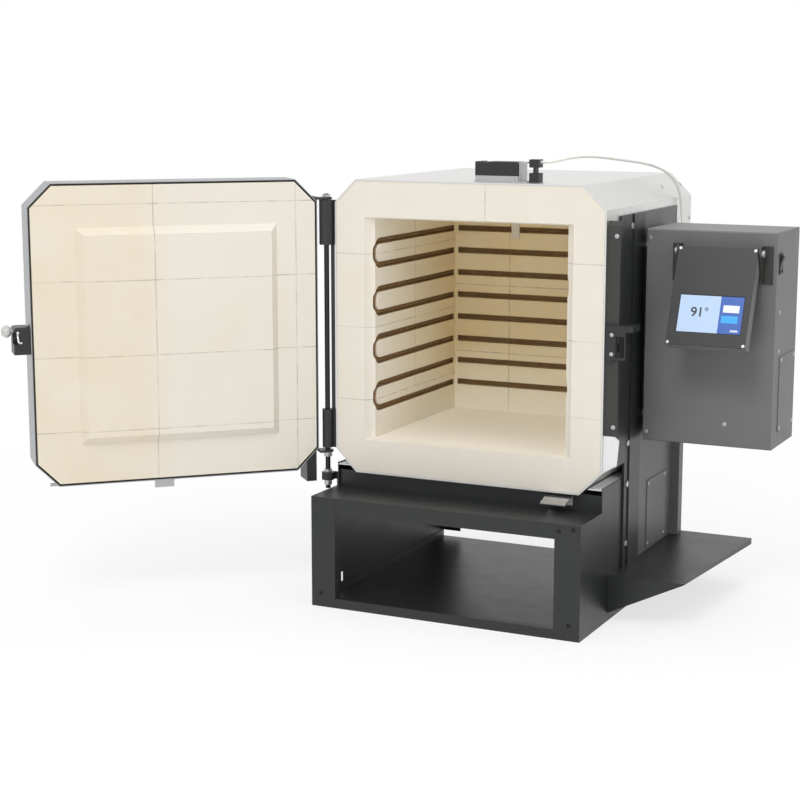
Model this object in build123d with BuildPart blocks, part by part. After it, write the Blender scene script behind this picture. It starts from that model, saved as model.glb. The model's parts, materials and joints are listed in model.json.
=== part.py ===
"""Bench heat treat oven: a brick-lined case with a side-swing door on an open stand,
a control box with a tilting display on its right side, and a side shelf.
Millimetres. The origin is the centre of the stand's underside; the door opens towards -Y."""
from build123d import *
from math import cos, hypot, pi, radians, sin, tan
import os

# Stand
stand_w = 444.5
stand_d = 488.0
stand_h = 175.0
side_top_z = 212.0
sheet = 1.6
stile_w = 41.0
top_rail_h = 23.5
bottom_rail_h = 15.0
frame_lip = 12.0
pan_flange = 12.0
deck_setback = 10.0

# Case
case_w = stand_w
case_d = 410.0
case_h = 460.0
case_z = 200.0
case_setback = 84.0
case_chamfer = 35.5
jacket_t = 1.2
seam_y = 34.0
seam_lap = 12.0
lining_gap = 0.3

# Brick lining, laid in four courses
chamber_w = 318.0
hearth_t = 56.0
roof_t = 60.0
back_brick = 63.5
board_t = 12.0
rear_space = 19.5
lip_bevel = 12.8
sill_bevel = 3.0
top_bevel = 2.8
course_count = 4
bed_gap = 2.3
top_gap = 0.5
roof_seam_x = 30.8
wall_seam_y = -3.0
back_seam_x = -59.0
back_seam_drop = 130.5

# Heating elements
row_count = 8
top_row_drop = 35.6
bottom_row_lift = 45.4
groove_h = 10.0
groove_d = 11.0
element_d = 7.0
element_depth = 5.5
element_front = 15.0
link_r = 14.0
corner_r = 6.0
tail_r = 7.0
tail_x = 140.0
tail_bore = 10.2
skin_t = 1.0
skin_w = 5.0

# Door and hinge
open_angle = 135.78
door_w = 444.5
door_inset = 1.0
door_t = 65.0
door_chamfer = 35.0
door_gap = 3.0
face_clearance = 0.44
plug_left, plug_right = 65.0, 375.0
plug_lift, plug_fall = 8.0, 7.0
plug_raise = 11.0
door_seams_s = (34.8, 257.0)
door_seam_lift = 83.2
axis_out = 14.6
axis_front = 1.0
rod_d = 8.0
fit = 0.1

# Latch
hook_lift = 225.0
latch_w = 24.5
latch_t_near, latch_t_far = -6.0, -45.0
latch_rod_d = 6.0
knob_d = 19.0
knob_w = 16.2
knob_gap = 0.7
knob_round = 4.0

# Right side of the case
rail_t = 3.0
rail_step = 2.0
shield_setback = 5.0
cover_t = 3.2
cover_drop = 47.0
shelf_z = 72.0

# Control box and display
box_left, box_right = 236.0, 436.0
box_front = -14.0
box_d = 129.0
box_h = 326.0
box_drop = 71.0
box_t = 1.2
display_w = 120.0
display_h = 151.0
display_t = 26.0
display_tilt = 22.2
display_x = 354.0
pivot_y = -30.0
pivot_under = 30.0
pivot_drop = 3.6
pivot_back = 12.3
face_t = 2.0

# Door switch and its lead
switch_x0, switch_x1 = 3.0, 73.5
switch_y0, switch_y1 = -134.0, -106.0
switch_h = 21.0
switch_lift = 9.0
lead_d = 4.0
lead_fall = 150.0

os.makedirs("parts", exist_ok=True)

# Places that follow from the sizes
front_y = -stand_d / 2
back_y = stand_d / 2
face_y = front_y + case_setback
case_back = face_y + case_d
case_top = case_z + case_h
half_w = case_w / 2
floor_z = case_z + hearth_t
ceiling_z = case_top - roof_t
chamber_h = ceiling_z - floor_z
lining_back = case_back - rear_space - board_t
chamber_back = lining_back - back_brick
lining_inset = 2 * jacket_t + lining_gap
side_in = half_w - sheet
course = (case_h - bed_gap - top_gap) / course_count
courses = [case_z + bed_gap + course * n for n in range(1, course_count)]
back_seam_z = [ceiling_z - back_seam_drop - course * n for n in (0, 1)]
first_row_z = ceiling_z - top_row_drop
row_pitch = (chamber_h - top_row_drop - bottom_row_lift) / (row_count - 1)
rows = [first_row_z - row_pitch * n for n in range(row_count)]
tails = [(tail_x, rows[n]) for n in (0, 3, 4, 7)]
door_z = case_z + door_inset
door_h = case_h - door_inset
door_top = door_z + door_h
hook_z = case_z + hook_lift
cover_low, cover_high = shelf_z, case_top - cover_drop
box_high = case_top - box_drop
box_low = box_high - box_h
pivot_z = box_high - pivot_under
switch_low = case_top + switch_lift
switch_high = switch_low + switch_h
lead_z = switch_high - lead_fall
axis_x = -half_w - axis_out
axis_y = face_y - axis_front


def front(y):
    """Plane facing the front at y, its local axes along X and Z."""
    return Plane((0, y, 0), x_dir=(1, 0, 0), z_dir=(0, -1, 0))


def right(x):
    """Plane facing right at x, its local axes along Y and Z."""
    return Plane((x, 0, 0), x_dir=(0, 1, 0), z_dir=(1, 0, 0))


def left(x):
    """Plane facing left at x, its local axes along -Y and Z."""
    return Plane((x, 0, 0), x_dir=(0, -1, 0), z_dir=(-1, 0, 0))


def block(x, y, z, mode=Mode.ADD):
    """A box between two limits on each axis of the part being built."""
    with Locations(((x[0] + x[1]) / 2, (y[0] + y[1]) / 2, (z[0] + z[1]) / 2)):
        Box(abs(x[1] - x[0]), abs(y[1] - y[0]), abs(z[1] - z[0]), mode=mode)


def slab(plane, points, depth, mode=Mode.ADD):
    """A flat piece with corners at points on plane, behind the plane by depth."""
    with BuildSketch(plane) as outline:
        with BuildLine():
            Polyline(*points, close=True)
        make_face()
    extrude(outline.sketch, amount=-depth, mode=mode)


def drill(plane, points, diameter, depth):
    """Round holes into plane at the given places."""
    with BuildSketch(plane) as holes:
        with Locations(*points):
            Circle(diameter / 2)
    extrude(holes.sketch, amount=-depth, mode=Mode.SUBTRACT)


def screws(plane, points, diameter, length=0):
    """Low round-headed screws seated on plane, with a shank behind it where length is given."""
    head_r, head_h = diameter, diameter * 0.55
    with BuildSketch(plane) as heads:
        with Locations(*points):
            Circle(head_r)
    extrude(heads.sketch, amount=head_h, taper=24)
    if length:
        with BuildSketch(plane) as shanks:
            with Locations(*points):
                Circle(diameter / 2 - fit)
        extrude(shanks.sketch, amount=-length)


def octagon(plane, width, height, mid_x, mid_z, cut, depth, mode=Mode.ADD):
    """A rectangle with cut corners on plane, behind the plane by depth."""
    with BuildSketch(plane) as outline:
        with Locations((mid_x, mid_z)):
            Rectangle(width, height)
        chamfer(outline.vertices(), cut)
    extrude(outline.sketch, amount=-depth, mode=mode)


def case_shape(y0, y1, inset, mode=Mode.ADD):
    """The case's outline, drawn in by inset, from y0 back to y1."""
    cut = case_chamfer - inset * (2 - 2 ** 0.5)
    octagon(front(y0), case_w - 2 * inset, case_h - 2 * inset, 0, case_z + case_h / 2, cut, y1 - y0, mode)


def save(piece, name):
    """Label a finished piece and write it under that name."""
    piece.part.label = name
    export_step(piece.part, f"parts/{name}.step")


# Stand: a black sheet frame that is open at the front and the back
screw_d = 4.0
stand_points = [(-206.0, 22.0), (205.0, 23.5), (188.0, 164.0), (210.0, 168.0)]
weld_w, weld_d = 0.6, 0.3
with BuildPart() as stand_front:
    open_w, open_top = stand_w - 2 * stile_w, stand_h - top_rail_h
    block((-half_w, half_w), (front_y, front_y + sheet), (0, stand_h))
    block((-open_w / 2 - sheet, open_w / 2 + sheet), (front_y, front_y + sheet + frame_lip),
          (bottom_rail_h - sheet, open_top + sheet))
    block((-open_w / 2, open_w / 2), (front_y, front_y + sheet + frame_lip),
          (bottom_rail_h, open_top), Mode.SUBTRACT)
    for x in (-open_w / 2, open_w / 2):
        for low, high in ((0, bottom_rail_h - sheet), (open_top + sheet, stand_h)):
            block((x - weld_w / 2, x + weld_w / 2), (front_y, front_y + weld_d), (low, high),
                  Mode.SUBTRACT)
    drill(front(front_y), stand_points, screw_d, sheet)
save(stand_front, "stand_front")

step_y = face_y + 5
rear_drop = 2.0
side_outline = [(front_y + sheet, 0), (back_y, 0), (back_y, side_top_z - rear_drop), (step_y, side_top_z),
                (step_y, stand_h), (front_y + sheet, stand_h)]
slot_y, slot_z = (-149.0, -141.0), (14.0, 30.0)
rear_flange_w = 34.6
rear_flange_z = (pan_flange + 0.6, case_z - sheet - 0.4)
with BuildPart() as stand_left_side:
    slab(right(-half_w + sheet), side_outline, sheet)
    block((-half_w, -side_in), slot_y, slot_z, Mode.SUBTRACT)
    block((-side_in, rear_flange_w - side_in), (back_y - sheet, back_y), rear_flange_z)
save(stand_left_side, "stand_left_side")

bay_y = (43.0, 138.0)
bay_z = (76.0, 186.0)
bay_edge = 15.0
with BuildPart() as stand_right_side:
    slab(right(half_w), side_outline, sheet)
    block((side_in, half_w), (bay_y[0] + bay_edge, bay_y[1] - bay_edge),
          (bay_z[0] + bay_edge, bay_z[1] - bay_edge), Mode.SUBTRACT)
    block((side_in - rear_flange_w, side_in), (back_y - sheet, back_y), rear_flange_z)
save(stand_right_side, "stand_right_side")

riser_y = face_y + deck_setback
with BuildPart() as stand_deck:
    block((-side_in, side_in), (front_y + sheet, riser_y + sheet), (stand_h - sheet, stand_h))
    block((-side_in, side_in), (riser_y, riser_y + sheet), (stand_h - sheet, case_z))
    block((-side_in, side_in), (riser_y, back_y), (case_z - sheet, case_z))
save(stand_deck, "stand_deck")

with BuildPart() as stand_floor:
    block((-side_in, side_in), (front_y + sheet, back_y), (0, pan_flange))
    block((-side_in + sheet, side_in - sheet), (front_y + 2 * sheet, back_y), (sheet, pan_flange),
          Mode.SUBTRACT)
save(stand_floor, "stand_floor")

strip_in = half_w - case_chamfer + (side_top_z - case_z) + lining_gap
with BuildPart() as corner_strips:
    for side in (-1, 1):
        block((side * strip_in, side * side_in), (step_y, back_y),
              (side_top_z - rear_drop - sheet, side_top_z - rear_drop))
save(corner_strips, "corner_strips")

# Side shelf: a plate on two gussets, with an edge that widens to the rear
shelf_x1, shelf_flare = 341.0, 16.0
shelf_y0, shelf_y1 = -122.0, 195.0
gusset_low = 12.7
edge_drop = 10.0
with BuildPart() as side_shelf:
    slab(Plane.XY.offset(shelf_z), [(half_w, shelf_y0), (shelf_x1, shelf_y0),
                                    (shelf_x1 + shelf_flare, shelf_y1), (half_w, shelf_y1)], sheet)
    block((half_w, half_w + sheet), (shelf_y0, shelf_y1), (gusset_low, shelf_z))
    for y in (shelf_y0, shelf_y1 - sheet):
        slab(front(y), [(half_w, shelf_z), (half_w, gusset_low), (shelf_x1, shelf_z - sheet),
                        (shelf_x1, shelf_z)], sheet)
    edge_plane = Plane((shelf_x1, shelf_y0, 0), x_dir=(shelf_flare, shelf_y1 - shelf_y0, 0),
                       z_dir=(shelf_y1 - shelf_y0, -shelf_flare, 0))
    edge_run = hypot(shelf_flare, shelf_y1 - shelf_y0)
    slab(edge_plane, [(0, shelf_z), (edge_run, shelf_z), (edge_run, shelf_z - edge_drop),
                      (0, shelf_z - sheet)], sheet)
save(side_shelf, "side_shelf")

# Bright ramp under the front of the case, which lifts the closing door
ramp_x0, ramp_x1 = 134.0, 174.0
ramp_reach, ramp_fall, ramp_t = 33.0, 10.0, 1.8
ramp_y = riser_y - ramp_reach
ramp_z = case_z - 1.5
ramp_low = stand_h + 6
with BuildPart() as door_ramp:
    slab(right(ramp_x1), [(riser_y, ramp_low), (riser_y, ramp_z), (ramp_y, ramp_z - ramp_fall),
                          (ramp_y, ramp_z - ramp_fall - ramp_t), (riser_y - sheet, ramp_z - ramp_t),
                          (riser_y - sheet, ramp_low)], ramp_x1 - ramp_x0)
save(door_ramp, "door_ramp")

# Case jacket in two wraps: the rear one is set in where it slides under the front one, whose front
# edge is turned in towards the bricks
with BuildPart() as jacket_front:
    case_shape(face_y, seam_y, 0)
    case_shape(face_y, seam_y, 2 * jacket_t, Mode.SUBTRACT)
    case_shape(face_y + jacket_t, seam_y, jacket_t, Mode.SUBTRACT)
save(jacket_front, "jacket_front")

with BuildPart() as jacket_rear:
    case_shape(seam_y, case_back, 0)
    case_shape(seam_y - seam_lap, seam_y + jacket_t, jacket_t)
    case_shape(seam_y - seam_lap, seam_y + jacket_t, 2 * jacket_t, Mode.SUBTRACT)
    case_shape(seam_y + jacket_t, case_back, jacket_t, Mode.SUBTRACT)
save(jacket_rear, "jacket_rear")

rear_flange = 14.0
rear_lap = 0.5
vent_in, vent_pitch, vent_h, vent_w = 90.0, 22.0, 40.0, 5.0
well_x = back_seam_x + 10
probe_z = first_row_z + 8.4
probe_d = 5.0
probe_bore = probe_d + 0.4
with BuildPart() as rear_cover:
    case_shape(case_back - rear_flange, case_back - rear_lap, jacket_t + fit)
    case_shape(case_back - rear_flange, case_back - rear_lap - jacket_t, 2 * jacket_t + fit, Mode.SUBTRACT)
    with BuildSketch(front(case_back - rear_flange)):
        with Locations((0, case_z + vent_in), (0, case_top - vent_in)):
            with GridLocations(vent_pitch, 0, 9, 1):
                SlotOverall(vent_h, vent_w, rotation=90)
    extrude(amount=-rear_flange, mode=Mode.SUBTRACT)
    drill(front(case_back - rear_flange), [(well_x, probe_z)], probe_bore, rear_flange)
save(rear_cover, "rear_cover")

bush_d, bush_head_d, bush_in = 10.0, 16.0, 30.0
with BuildPart() as rear_insulation:
    case_shape(lining_back, lining_back + board_t, lining_inset)
    drill(front(lining_back), tails, bush_d + 2.4, board_t)
    drill(front(lining_back), [(well_x, probe_z)], probe_bore, board_t)
save(rear_insulation, "rear_insulation")

# Brick lining, cut as one block and then parted at its joints. The grooves are covered by a thin
# skin of brick on both sides of the back corners.
def hairpin(side, upper, back, near, far):
    """Cut two rows and the rounded link between their front ends into a side wall, to a y of back
    and between two depths."""
    link_front = face_y + element_front - groove_h / 2
    reach = back - link_front
    mid_z = upper - row_pitch / 2
    with BuildSketch(right(side * (chamber_w / 2 + near))) as ring:
        with Locations((back, mid_z)):
            RectangleRounded(2 * reach, row_pitch + groove_h, link_r + groove_h / 2)
            RectangleRounded(2 * (reach - groove_h), row_pitch - groove_h, link_r - groove_h / 2,
                             mode=Mode.SUBTRACT)
        with Locations((back + reach / 2, mid_z)):
            Rectangle(reach, 2 * row_pitch, mode=Mode.SUBTRACT)
    extrude(ring.sketch, amount=side * (far - near), mode=Mode.SUBTRACT)


well_w, well_low, well_high, well_d = 14.4, 15.0, 12.0, 6.0
with BuildPart() as lining:
    case_shape(face_y, lining_back, lining_inset)
    block((-chamber_w / 2, chamber_w / 2), (face_y, chamber_back), (floor_z, ceiling_z), Mode.SUBTRACT)
    with BuildSketch(front(face_y)):
        with Locations((0, (floor_z + ceiling_z + top_bevel - sill_bevel) / 2)):
            Rectangle(chamber_w + 2 * lip_bevel, chamber_h + top_bevel + sill_bevel)
    with BuildSketch(front(face_y + lip_bevel)):
        with Locations((0, (floor_z + ceiling_z) / 2)):
            Rectangle(chamber_w, chamber_h)
    loft(mode=Mode.SUBTRACT)
    for z in rows:
        groove = (z - groove_h / 2, z + groove_h / 2)
        block((-chamber_w / 2 + skin_w, chamber_w / 2 - skin_w), (chamber_back, chamber_back + groove_d),
              groove, Mode.SUBTRACT)
        block((-chamber_w / 2 - skin_t, chamber_w / 2 + skin_t),
              (chamber_back + skin_t, chamber_back + groove_d), groove, Mode.SUBTRACT)
    for side, upper_rows in ((-1, (0, 2, 4, 6)), (1, (1, 5))):
        for row in upper_rows:
            hairpin(side, rows[row], chamber_back - skin_w, 0, skin_t)
            hairpin(side, rows[row], chamber_back + groove_d, skin_t, groove_d)
    drill(front(chamber_back), tails, tail_bore, back_brick)
    block((well_x - well_w / 2, well_x + well_w / 2), (chamber_back, chamber_back + well_d),
          (first_row_z - well_low, first_row_z + well_high), Mode.SUBTRACT)
    drill(front(chamber_back), [(well_x, probe_z)], probe_bore, back_brick)

roof_joint, floor_joint = courses[-1], courses[0]
with BuildPart() as roof_bricks:
    add(lining.part)
    block((-half_w, half_w), (face_y - 1, lining_back), (roof_joint, case_top), Mode.INTERSECT)
    block((-chamber_w / 2, chamber_w / 2), (chamber_back, lining_back), (roof_joint, ceiling_z),
          Mode.SUBTRACT)
    split(bisect_by=Plane.YZ.offset(roof_seam_x), keep=Keep.BOTH)
save(roof_bricks, "roof_bricks")

with BuildPart() as floor_bricks:
    add(lining.part)
    block((-half_w, half_w), (face_y - 1, lining_back), (case_z, floor_joint), Mode.INTERSECT)
    block((-chamber_w / 2, chamber_w / 2), (chamber_back, lining_back), (floor_z, floor_joint),
          Mode.SUBTRACT)
save(floor_bricks, "floor_bricks")


def side_bricks(side):
    """The two middle courses of one side wall, four bricks."""
    with BuildPart() as wall:
        add(lining.part)
        block((side * chamber_w / 2, side * half_w), (face_y - 1, lining_back), (floor_joint, roof_joint),
              Mode.INTERSECT)
        split(bisect_by=Plane.XY.offset(courses[1]), keep=Keep.BOTH)
        split(bisect_by=Plane.XZ.offset(-wall_seam_y), keep=Keep.BOTH)
    return wall


left_wall_bricks = side_bricks(-1)
save(left_wall_bricks, "left_wall_bricks")
right_wall_bricks = side_bricks(1)
save(right_wall_bricks, "right_wall_bricks")

with BuildPart() as back_bricks:
    add(lining.part)
    block((-chamber_w / 2, chamber_w / 2), (chamber_back, lining_back), (floor_z, ceiling_z),
          Mode.INTERSECT)
    split(bisect_by=Plane.YZ.offset(back_seam_x), keep=Keep.BOTH)
    for z in back_seam_z:
        split(bisect_by=Plane.XY.offset(z), keep=Keep.BOTH)
save(back_bricks, "back_bricks")

# Heating elements: each a coil of resistance wire laid in four rows, shown at its outer diameter
side_x = chamber_w / 2 + element_depth
back_run = chamber_back + element_depth
front_run = face_y + element_front
tail_y = lining_back + board_t + 4
element_radii = [tail_r, corner_r, link_r, link_r, corner_r, corner_r, link_r, link_r, corner_r, corner_r,
                 link_r, link_r, corner_r, tail_r]


def element(first):
    """One element through four rows, from tail to tail through the back wall."""
    z = rows[first:first + 4]
    path = [(tail_x, tail_y, z[0]), (tail_x, back_run, z[0]), (-side_x, back_run, z[0]),
            (-side_x, front_run, z[0]), (-side_x, front_run, z[1]), (-side_x, back_run, z[1]),
            (side_x, back_run, z[1]), (side_x, front_run, z[1]), (side_x, front_run, z[2]),
            (side_x, back_run, z[2]), (-side_x, back_run, z[2]), (-side_x, front_run, z[2]),
            (-side_x, front_run, z[3]), (-side_x, back_run, z[3]), (tail_x, back_run, z[3]),
            (tail_x, tail_y, z[3])]
    with BuildPart() as coil:
        with BuildLine():
            line = FilletPolyline(*path, radius=element_radii)
        with BuildSketch(Plane(path[0], z_dir=(0, -1, 0))):
            Circle(element_d / 2)
        sweep(path=line)
    return coil


upper_element = element(0)
save(upper_element, "upper_element")
lower_element = element(4)
save(lower_element, "lower_element")

with BuildPart() as element_bushes:
    with BuildSketch(front(lining_back - bush_in)):
        with Locations(*tails):
            Circle(bush_d / 2)
    extrude(amount=-(bush_in + board_t))
    with BuildSketch(front(lining_back + board_t)):
        with Locations(*tails):
            Circle(bush_head_d / 2)
    extrude(amount=-3)
    drill(front(lining_back - bush_in), tails, element_d + 0.2, 2 * bush_in)
save(element_bushes, "element_bushes")

nut_r, nut_h = 6.0, 9.0
with BuildPart() as element_terminals:
    with BuildSketch(front(tail_y)):
        with Locations(*tails):
            RegularPolygon(nut_r, 6)
    extrude(amount=-nut_h)
    fillet(element_terminals.faces().sort_by(Axis.Y)[-4:].edges(), 0.8)
save(element_terminals, "element_terminals")

cap_w = well_w - 0.4
cap_low, cap_high, cap_step = first_row_z - well_low + 0.2, first_row_z + well_high - 0.2, first_row_z + 5
with BuildPart() as thermocouple:
    block((well_x - cap_w / 2, well_x + cap_w / 2), (chamber_back - 1, chamber_back + 1.8),
          (cap_low, cap_high))
    block((well_x - cap_w / 2, well_x + cap_w / 2), (chamber_back + 1.8, chamber_back + well_d - 0.2),
          (cap_step, cap_high))
    with BuildSketch(front(chamber_back + 1)):
        with Locations((well_x, probe_z)):
            Circle(probe_d / 2)
    extrude(amount=-(case_back - chamber_back))
    with BuildSketch(front(case_back - rear_lap + fit)):
        with Locations((well_x, probe_z)):
            Circle(9.0)
    extrude(amount=-13)
save(thermocouple, "thermocouple")


def chamfer_plane(side):
    """Plane on a top corner cut of the case, its first local axis along side * Y."""
    return Plane((side * (half_w - case_chamfer / 2), 0, case_top - case_chamfer / 2),
                 x_dir=(0, side, 0), z_dir=(side, 0, 1))


# Side rail: a black post bolted to the case and the stand, with a thinner wing to the front
rail_y0, rail_mid, rail_y1 = -103.0, -49.0, 1.0
wing_low = case_z + 36.0
foot_y = -66.5
bolt_y = -55.0
bolt_z = (106.5, 200.0, 264.0, cover_high - 18.0)
bolt_d, bolt_head_r, bolt_head_h = 6.0, 5.6, 3.6
with BuildPart() as side_rail:
    block((half_w, half_w + rail_t + rail_step), (rail_mid, rail_y1), (cover_low, cover_high))
    block((half_w, half_w + rail_t), (rail_y0, rail_mid), (wing_low, cover_high))
    block((half_w, half_w + rail_t), (foot_y, rail_mid), (cover_low, wing_low))
    drill(right(half_w + rail_t), [(bolt_y, z) for z in bolt_z], bolt_d, rail_t)
save(side_rail, "side_rail")

with BuildPart() as rail_bolts:
    with BuildSketch(right(half_w + rail_t)):
        with Locations(*[(bolt_y, z) for z in bolt_z]):
            RegularPolygon(bolt_head_r, 6)
    extrude(amount=bolt_head_h)
    with BuildSketch(right(half_w + rail_t)):
        with Locations(*[(bolt_y, z) for z in bolt_z]):
            Circle(bolt_d / 2 - fit)
    extrude(amount=-rail_t)
save(rail_bolts, "rail_bolts")

# Heat shield beside the door opening: a long angle with a hem at its top and a window for the hook
shield_y = face_y + shield_setback
shield_x1 = 242.3
shield_low, shield_high = case_z + 92.5, case_top - 59.5
shield_lip, hem_h, hem_y = 7.0, 8.5, 9.0
shield_screw_x = 236.5
shield_screws = [(shield_screw_x, shield_high - 12.8), (shield_screw_x, shield_low + 13.7)]
catch_bar_x, catch_slot_x, catch_end_x = 234.5, 239.5, 254.5
window_z = (hook_z - 7.0, hook_z + 7.0)
with BuildPart() as heat_shield:
    block((half_w, shield_x1), (shield_y, shield_y + jacket_t), (shield_low, shield_high))
    block((half_w, half_w + jacket_t), (shield_y, rail_y0), (shield_low, shield_high))
    block((half_w, shield_x1), (shield_y, shield_y + shield_lip - 1), (shield_high, shield_high + jacket_t))
    slab(right(shield_x1), [(shield_y + shield_lip - 1, shield_high),
                            (shield_y + shield_lip - 1, shield_high + jacket_t),
                            (shield_y + hem_y, shield_high + hem_h),
                            (shield_y + hem_y + jacket_t, shield_high + hem_h),
                            (shield_y + shield_lip + 0.2, shield_high)], shield_x1 - half_w)
    block((shield_x1 - jacket_t, shield_x1), (shield_y, shield_y + shield_lip), (shield_low, shield_high))
    block((catch_bar_x - 1, shield_x1), (shield_y, shield_y + shield_lip), window_z, Mode.SUBTRACT)
    drill(front(shield_y), shield_screws, screw_d, jacket_t)
save(heat_shield, "heat_shield")

foot_low, foot_high = case_z + 38.4, shield_low - 0.2
with BuildPart() as foot_plate:
    slab(front(shield_y), [(half_w, foot_low), (half_w, foot_high), (half_w + 16.5, foot_high),
                           (half_w + 24, foot_high - 5.6), (half_w + 20.8, foot_low + 9.9)], sheet)
    block((half_w, half_w + sheet), (shield_y, rail_y0), (foot_low, foot_high))
save(foot_plate, "foot_plate")

# Catch for the door latch: a block with a slotted plate, and a bar over it
catch_x0 = half_w + jacket_t
catch_low, catch_high = hook_z - 20.0, hook_z + 24.0
bar_end, bar_h, bar_back = 266.0, 9.0, 26.0
catch_slot = (hook_z - 14.0, hook_z + 17.0)
catch_plate_t = 2.2
catch_y0 = face_y + 0.5
catch_screw_x = 233.0
catch_screws = [(catch_screw_x, hook_z + 19), (catch_screw_x, hook_z - 9.5)]
with BuildPart() as catch_body:
    block((catch_x0, catch_bar_x), (catch_y0, shield_y), (catch_low, catch_high))
    block((catch_x0, bar_end), (catch_y0 - 1, shield_y), (catch_high, catch_high + bar_h))
    block((shield_x1 + fit, bar_end), (shield_y, shield_y + bar_back), (catch_high, catch_high + bar_h))
    drill(front(catch_y0), catch_screws, screw_d, shield_setback)
save(catch_body, "catch_body")

with BuildPart() as catch_plate:
    block((catch_bar_x, catch_end_x), (catch_y0, catch_y0 + catch_plate_t), (catch_low + 2, catch_high))
    block((catch_slot_x, catch_end_x - 2), (catch_y0, catch_y0 + catch_plate_t), catch_slot, Mode.SUBTRACT)
    drill(front(catch_y0), catch_screws, screw_d, catch_plate_t)
save(catch_plate, "catch_plate")

# Terminal cover behind the rail, with an outward flange at its rear edge
cover_y0, cover_y1 = rail_y1 + 0.3, 166.0
flange_x, flange_y1 = 240.0, 185.0
flange_high = case_top - 100.0
small_screw = 3.5
corner_in = 6.0
access_screws = [(y, z) for y in (bay_y[0] + corner_in, bay_y[1] - corner_in)
                 for z in (bay_z[0] + corner_in, bay_z[1] - corner_in)]
with BuildPart() as terminal_cover:
    block((half_w, half_w + cover_t), (cover_y0, cover_y1), (cover_low, cover_high))
    block((half_w, flange_x), (cover_y1, cover_y1 + sheet), (cover_low, flange_high))
    block((flange_x - sheet, flange_x), (cover_y1, flange_y1), (cover_low, flange_high))
    block((half_w, half_w + cover_t), (bay_y[0] + bay_edge - 1, bay_y[1] - bay_edge + 1),
          (bay_z[0] + bay_edge - 1, bay_z[1] - bay_edge + 1), Mode.SUBTRACT)
    drill(right(half_w + cover_t), access_screws, small_screw, cover_t)
save(terminal_cover, "terminal_cover")

with BuildPart() as access_plate:
    block((half_w + cover_t, half_w + cover_t + sheet), bay_y, bay_z)
    fillet(access_plate.edges().filter_by(Axis.X), 4)
    drill(right(half_w + cover_t + sheet), access_screws, small_screw, sheet)
save(access_plate, "access_plate")

# Control box: a folded shell, a rear cover, and spacers to the case
box_back = box_front + box_d
rocker_y, rocker_z = 6.5, box_high - 46.5
rocker_h, rocker_w = 31.0, 17.0
panel_y, panel_z = (19.0, 110.0), (box_low + 22.0, box_low + 138.0)
panel_screws = [(y, z) for y in (panel_y[0] + corner_in + 2, panel_y[1] - corner_in - 2)
                for z in (panel_z[0] + corner_in, panel_z[1] - corner_in)]
stamp_x = (251.8, 299.3, 346.8, 395.8)
stamp_d, stamp_deep = 4.0, 0.6
edge_screw_x = box_left + 4.3
box_front_screws = [(364.0, box_low + 35.0), (edge_screw_x, box_high - 14.4),
                    (edge_screw_x, box_low + 13.8)]
rim_screws = [(11.0, box_low + 206.2), (13.0, box_low + 147.1)]
spacer_d = 12.0
spacer_yz = [(y, z) for y in (20.0, 95.0) for z in (box_low + 37.0, box_high - 29.0)]
gland_x, gland_y, gland_d = 390.0, 90.0, 18.0
with BuildPart() as control_box:
    block((box_left, box_right), (box_front, box_back - box_t), (box_low, box_high))
    fillet(control_box.edges().filter_by(Axis.X).group_by(Axis.Y)[0], 2.5)
    block((box_left + box_t, box_right - box_t), (box_front + box_t, box_back),
          (box_low + box_t, box_high - box_t), Mode.SUBTRACT)
    block((box_right - box_t, box_right), (rocker_y - rocker_w / 2 + 1, rocker_y + rocker_w / 2 - 1),
          (rocker_z - rocker_h / 2 + 1, rocker_z + rocker_h / 2 - 1), Mode.SUBTRACT)
    block((box_right - box_t, box_right), (panel_y[0] + 2 * corner_in + 2, panel_y[1] - 2 * corner_in - 2),
          (panel_z[0] + 2 * corner_in, panel_z[1] - 2 * corner_in), Mode.SUBTRACT)
    drill(right(box_right), panel_screws, small_screw, box_t)
    drill(left(box_left), [(-y, z) for y, z in spacer_yz], screw_d, box_t)
    drill(front(box_front), [(x, box_high - corner_in) for x in stamp_x], stamp_d, stamp_deep)
    drill(front(box_front), box_front_screws, screw_d, box_t)
    drill(Plane.XY.offset(box_low + box_t), [(gland_x, gland_y)], gland_d, box_t)
save(control_box, "control_box")

louvre_h, louvre_w, louvre_pitch, louvre_drop = 46.0, 4.0, 14.0, 69.0
lead_x = box_left + 16.0
with BuildPart() as control_box_back:
    block((box_left, box_right), (box_back - box_t, box_back), (box_low, box_high))
    with BuildSketch(front(box_back - box_t)):
        with Locations(((box_left + box_right) / 2, box_high - louvre_drop)):
            with GridLocations(louvre_pitch, 0, 9, 1):
                SlotOverall(louvre_h, louvre_w, rotation=90)
    extrude(amount=-box_t, mode=Mode.SUBTRACT)
    drill(front(box_back - box_t), [(lead_x, lead_z)], lead_d + 0.6, box_t)
save(control_box_back, "control_box_back")

with BuildPart() as side_panel:
    block((box_right, box_right + box_t), panel_y, panel_z)
    fillet(side_panel.edges().filter_by(Axis.X), 2)
    drill(right(box_right + box_t), panel_screws, small_screw, box_t)
save(side_panel, "side_panel")

with BuildPart() as box_spacers:
    for y, z in spacer_yz:
        with Locations(Plane((half_w + cover_t, y, z), z_dir=(1, 0, 0))):
            Cylinder(spacer_d / 2, box_left - half_w - cover_t, align=(Align.CENTER, Align.CENTER, Align.MIN))
save(box_spacers, "box_spacers")

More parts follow.
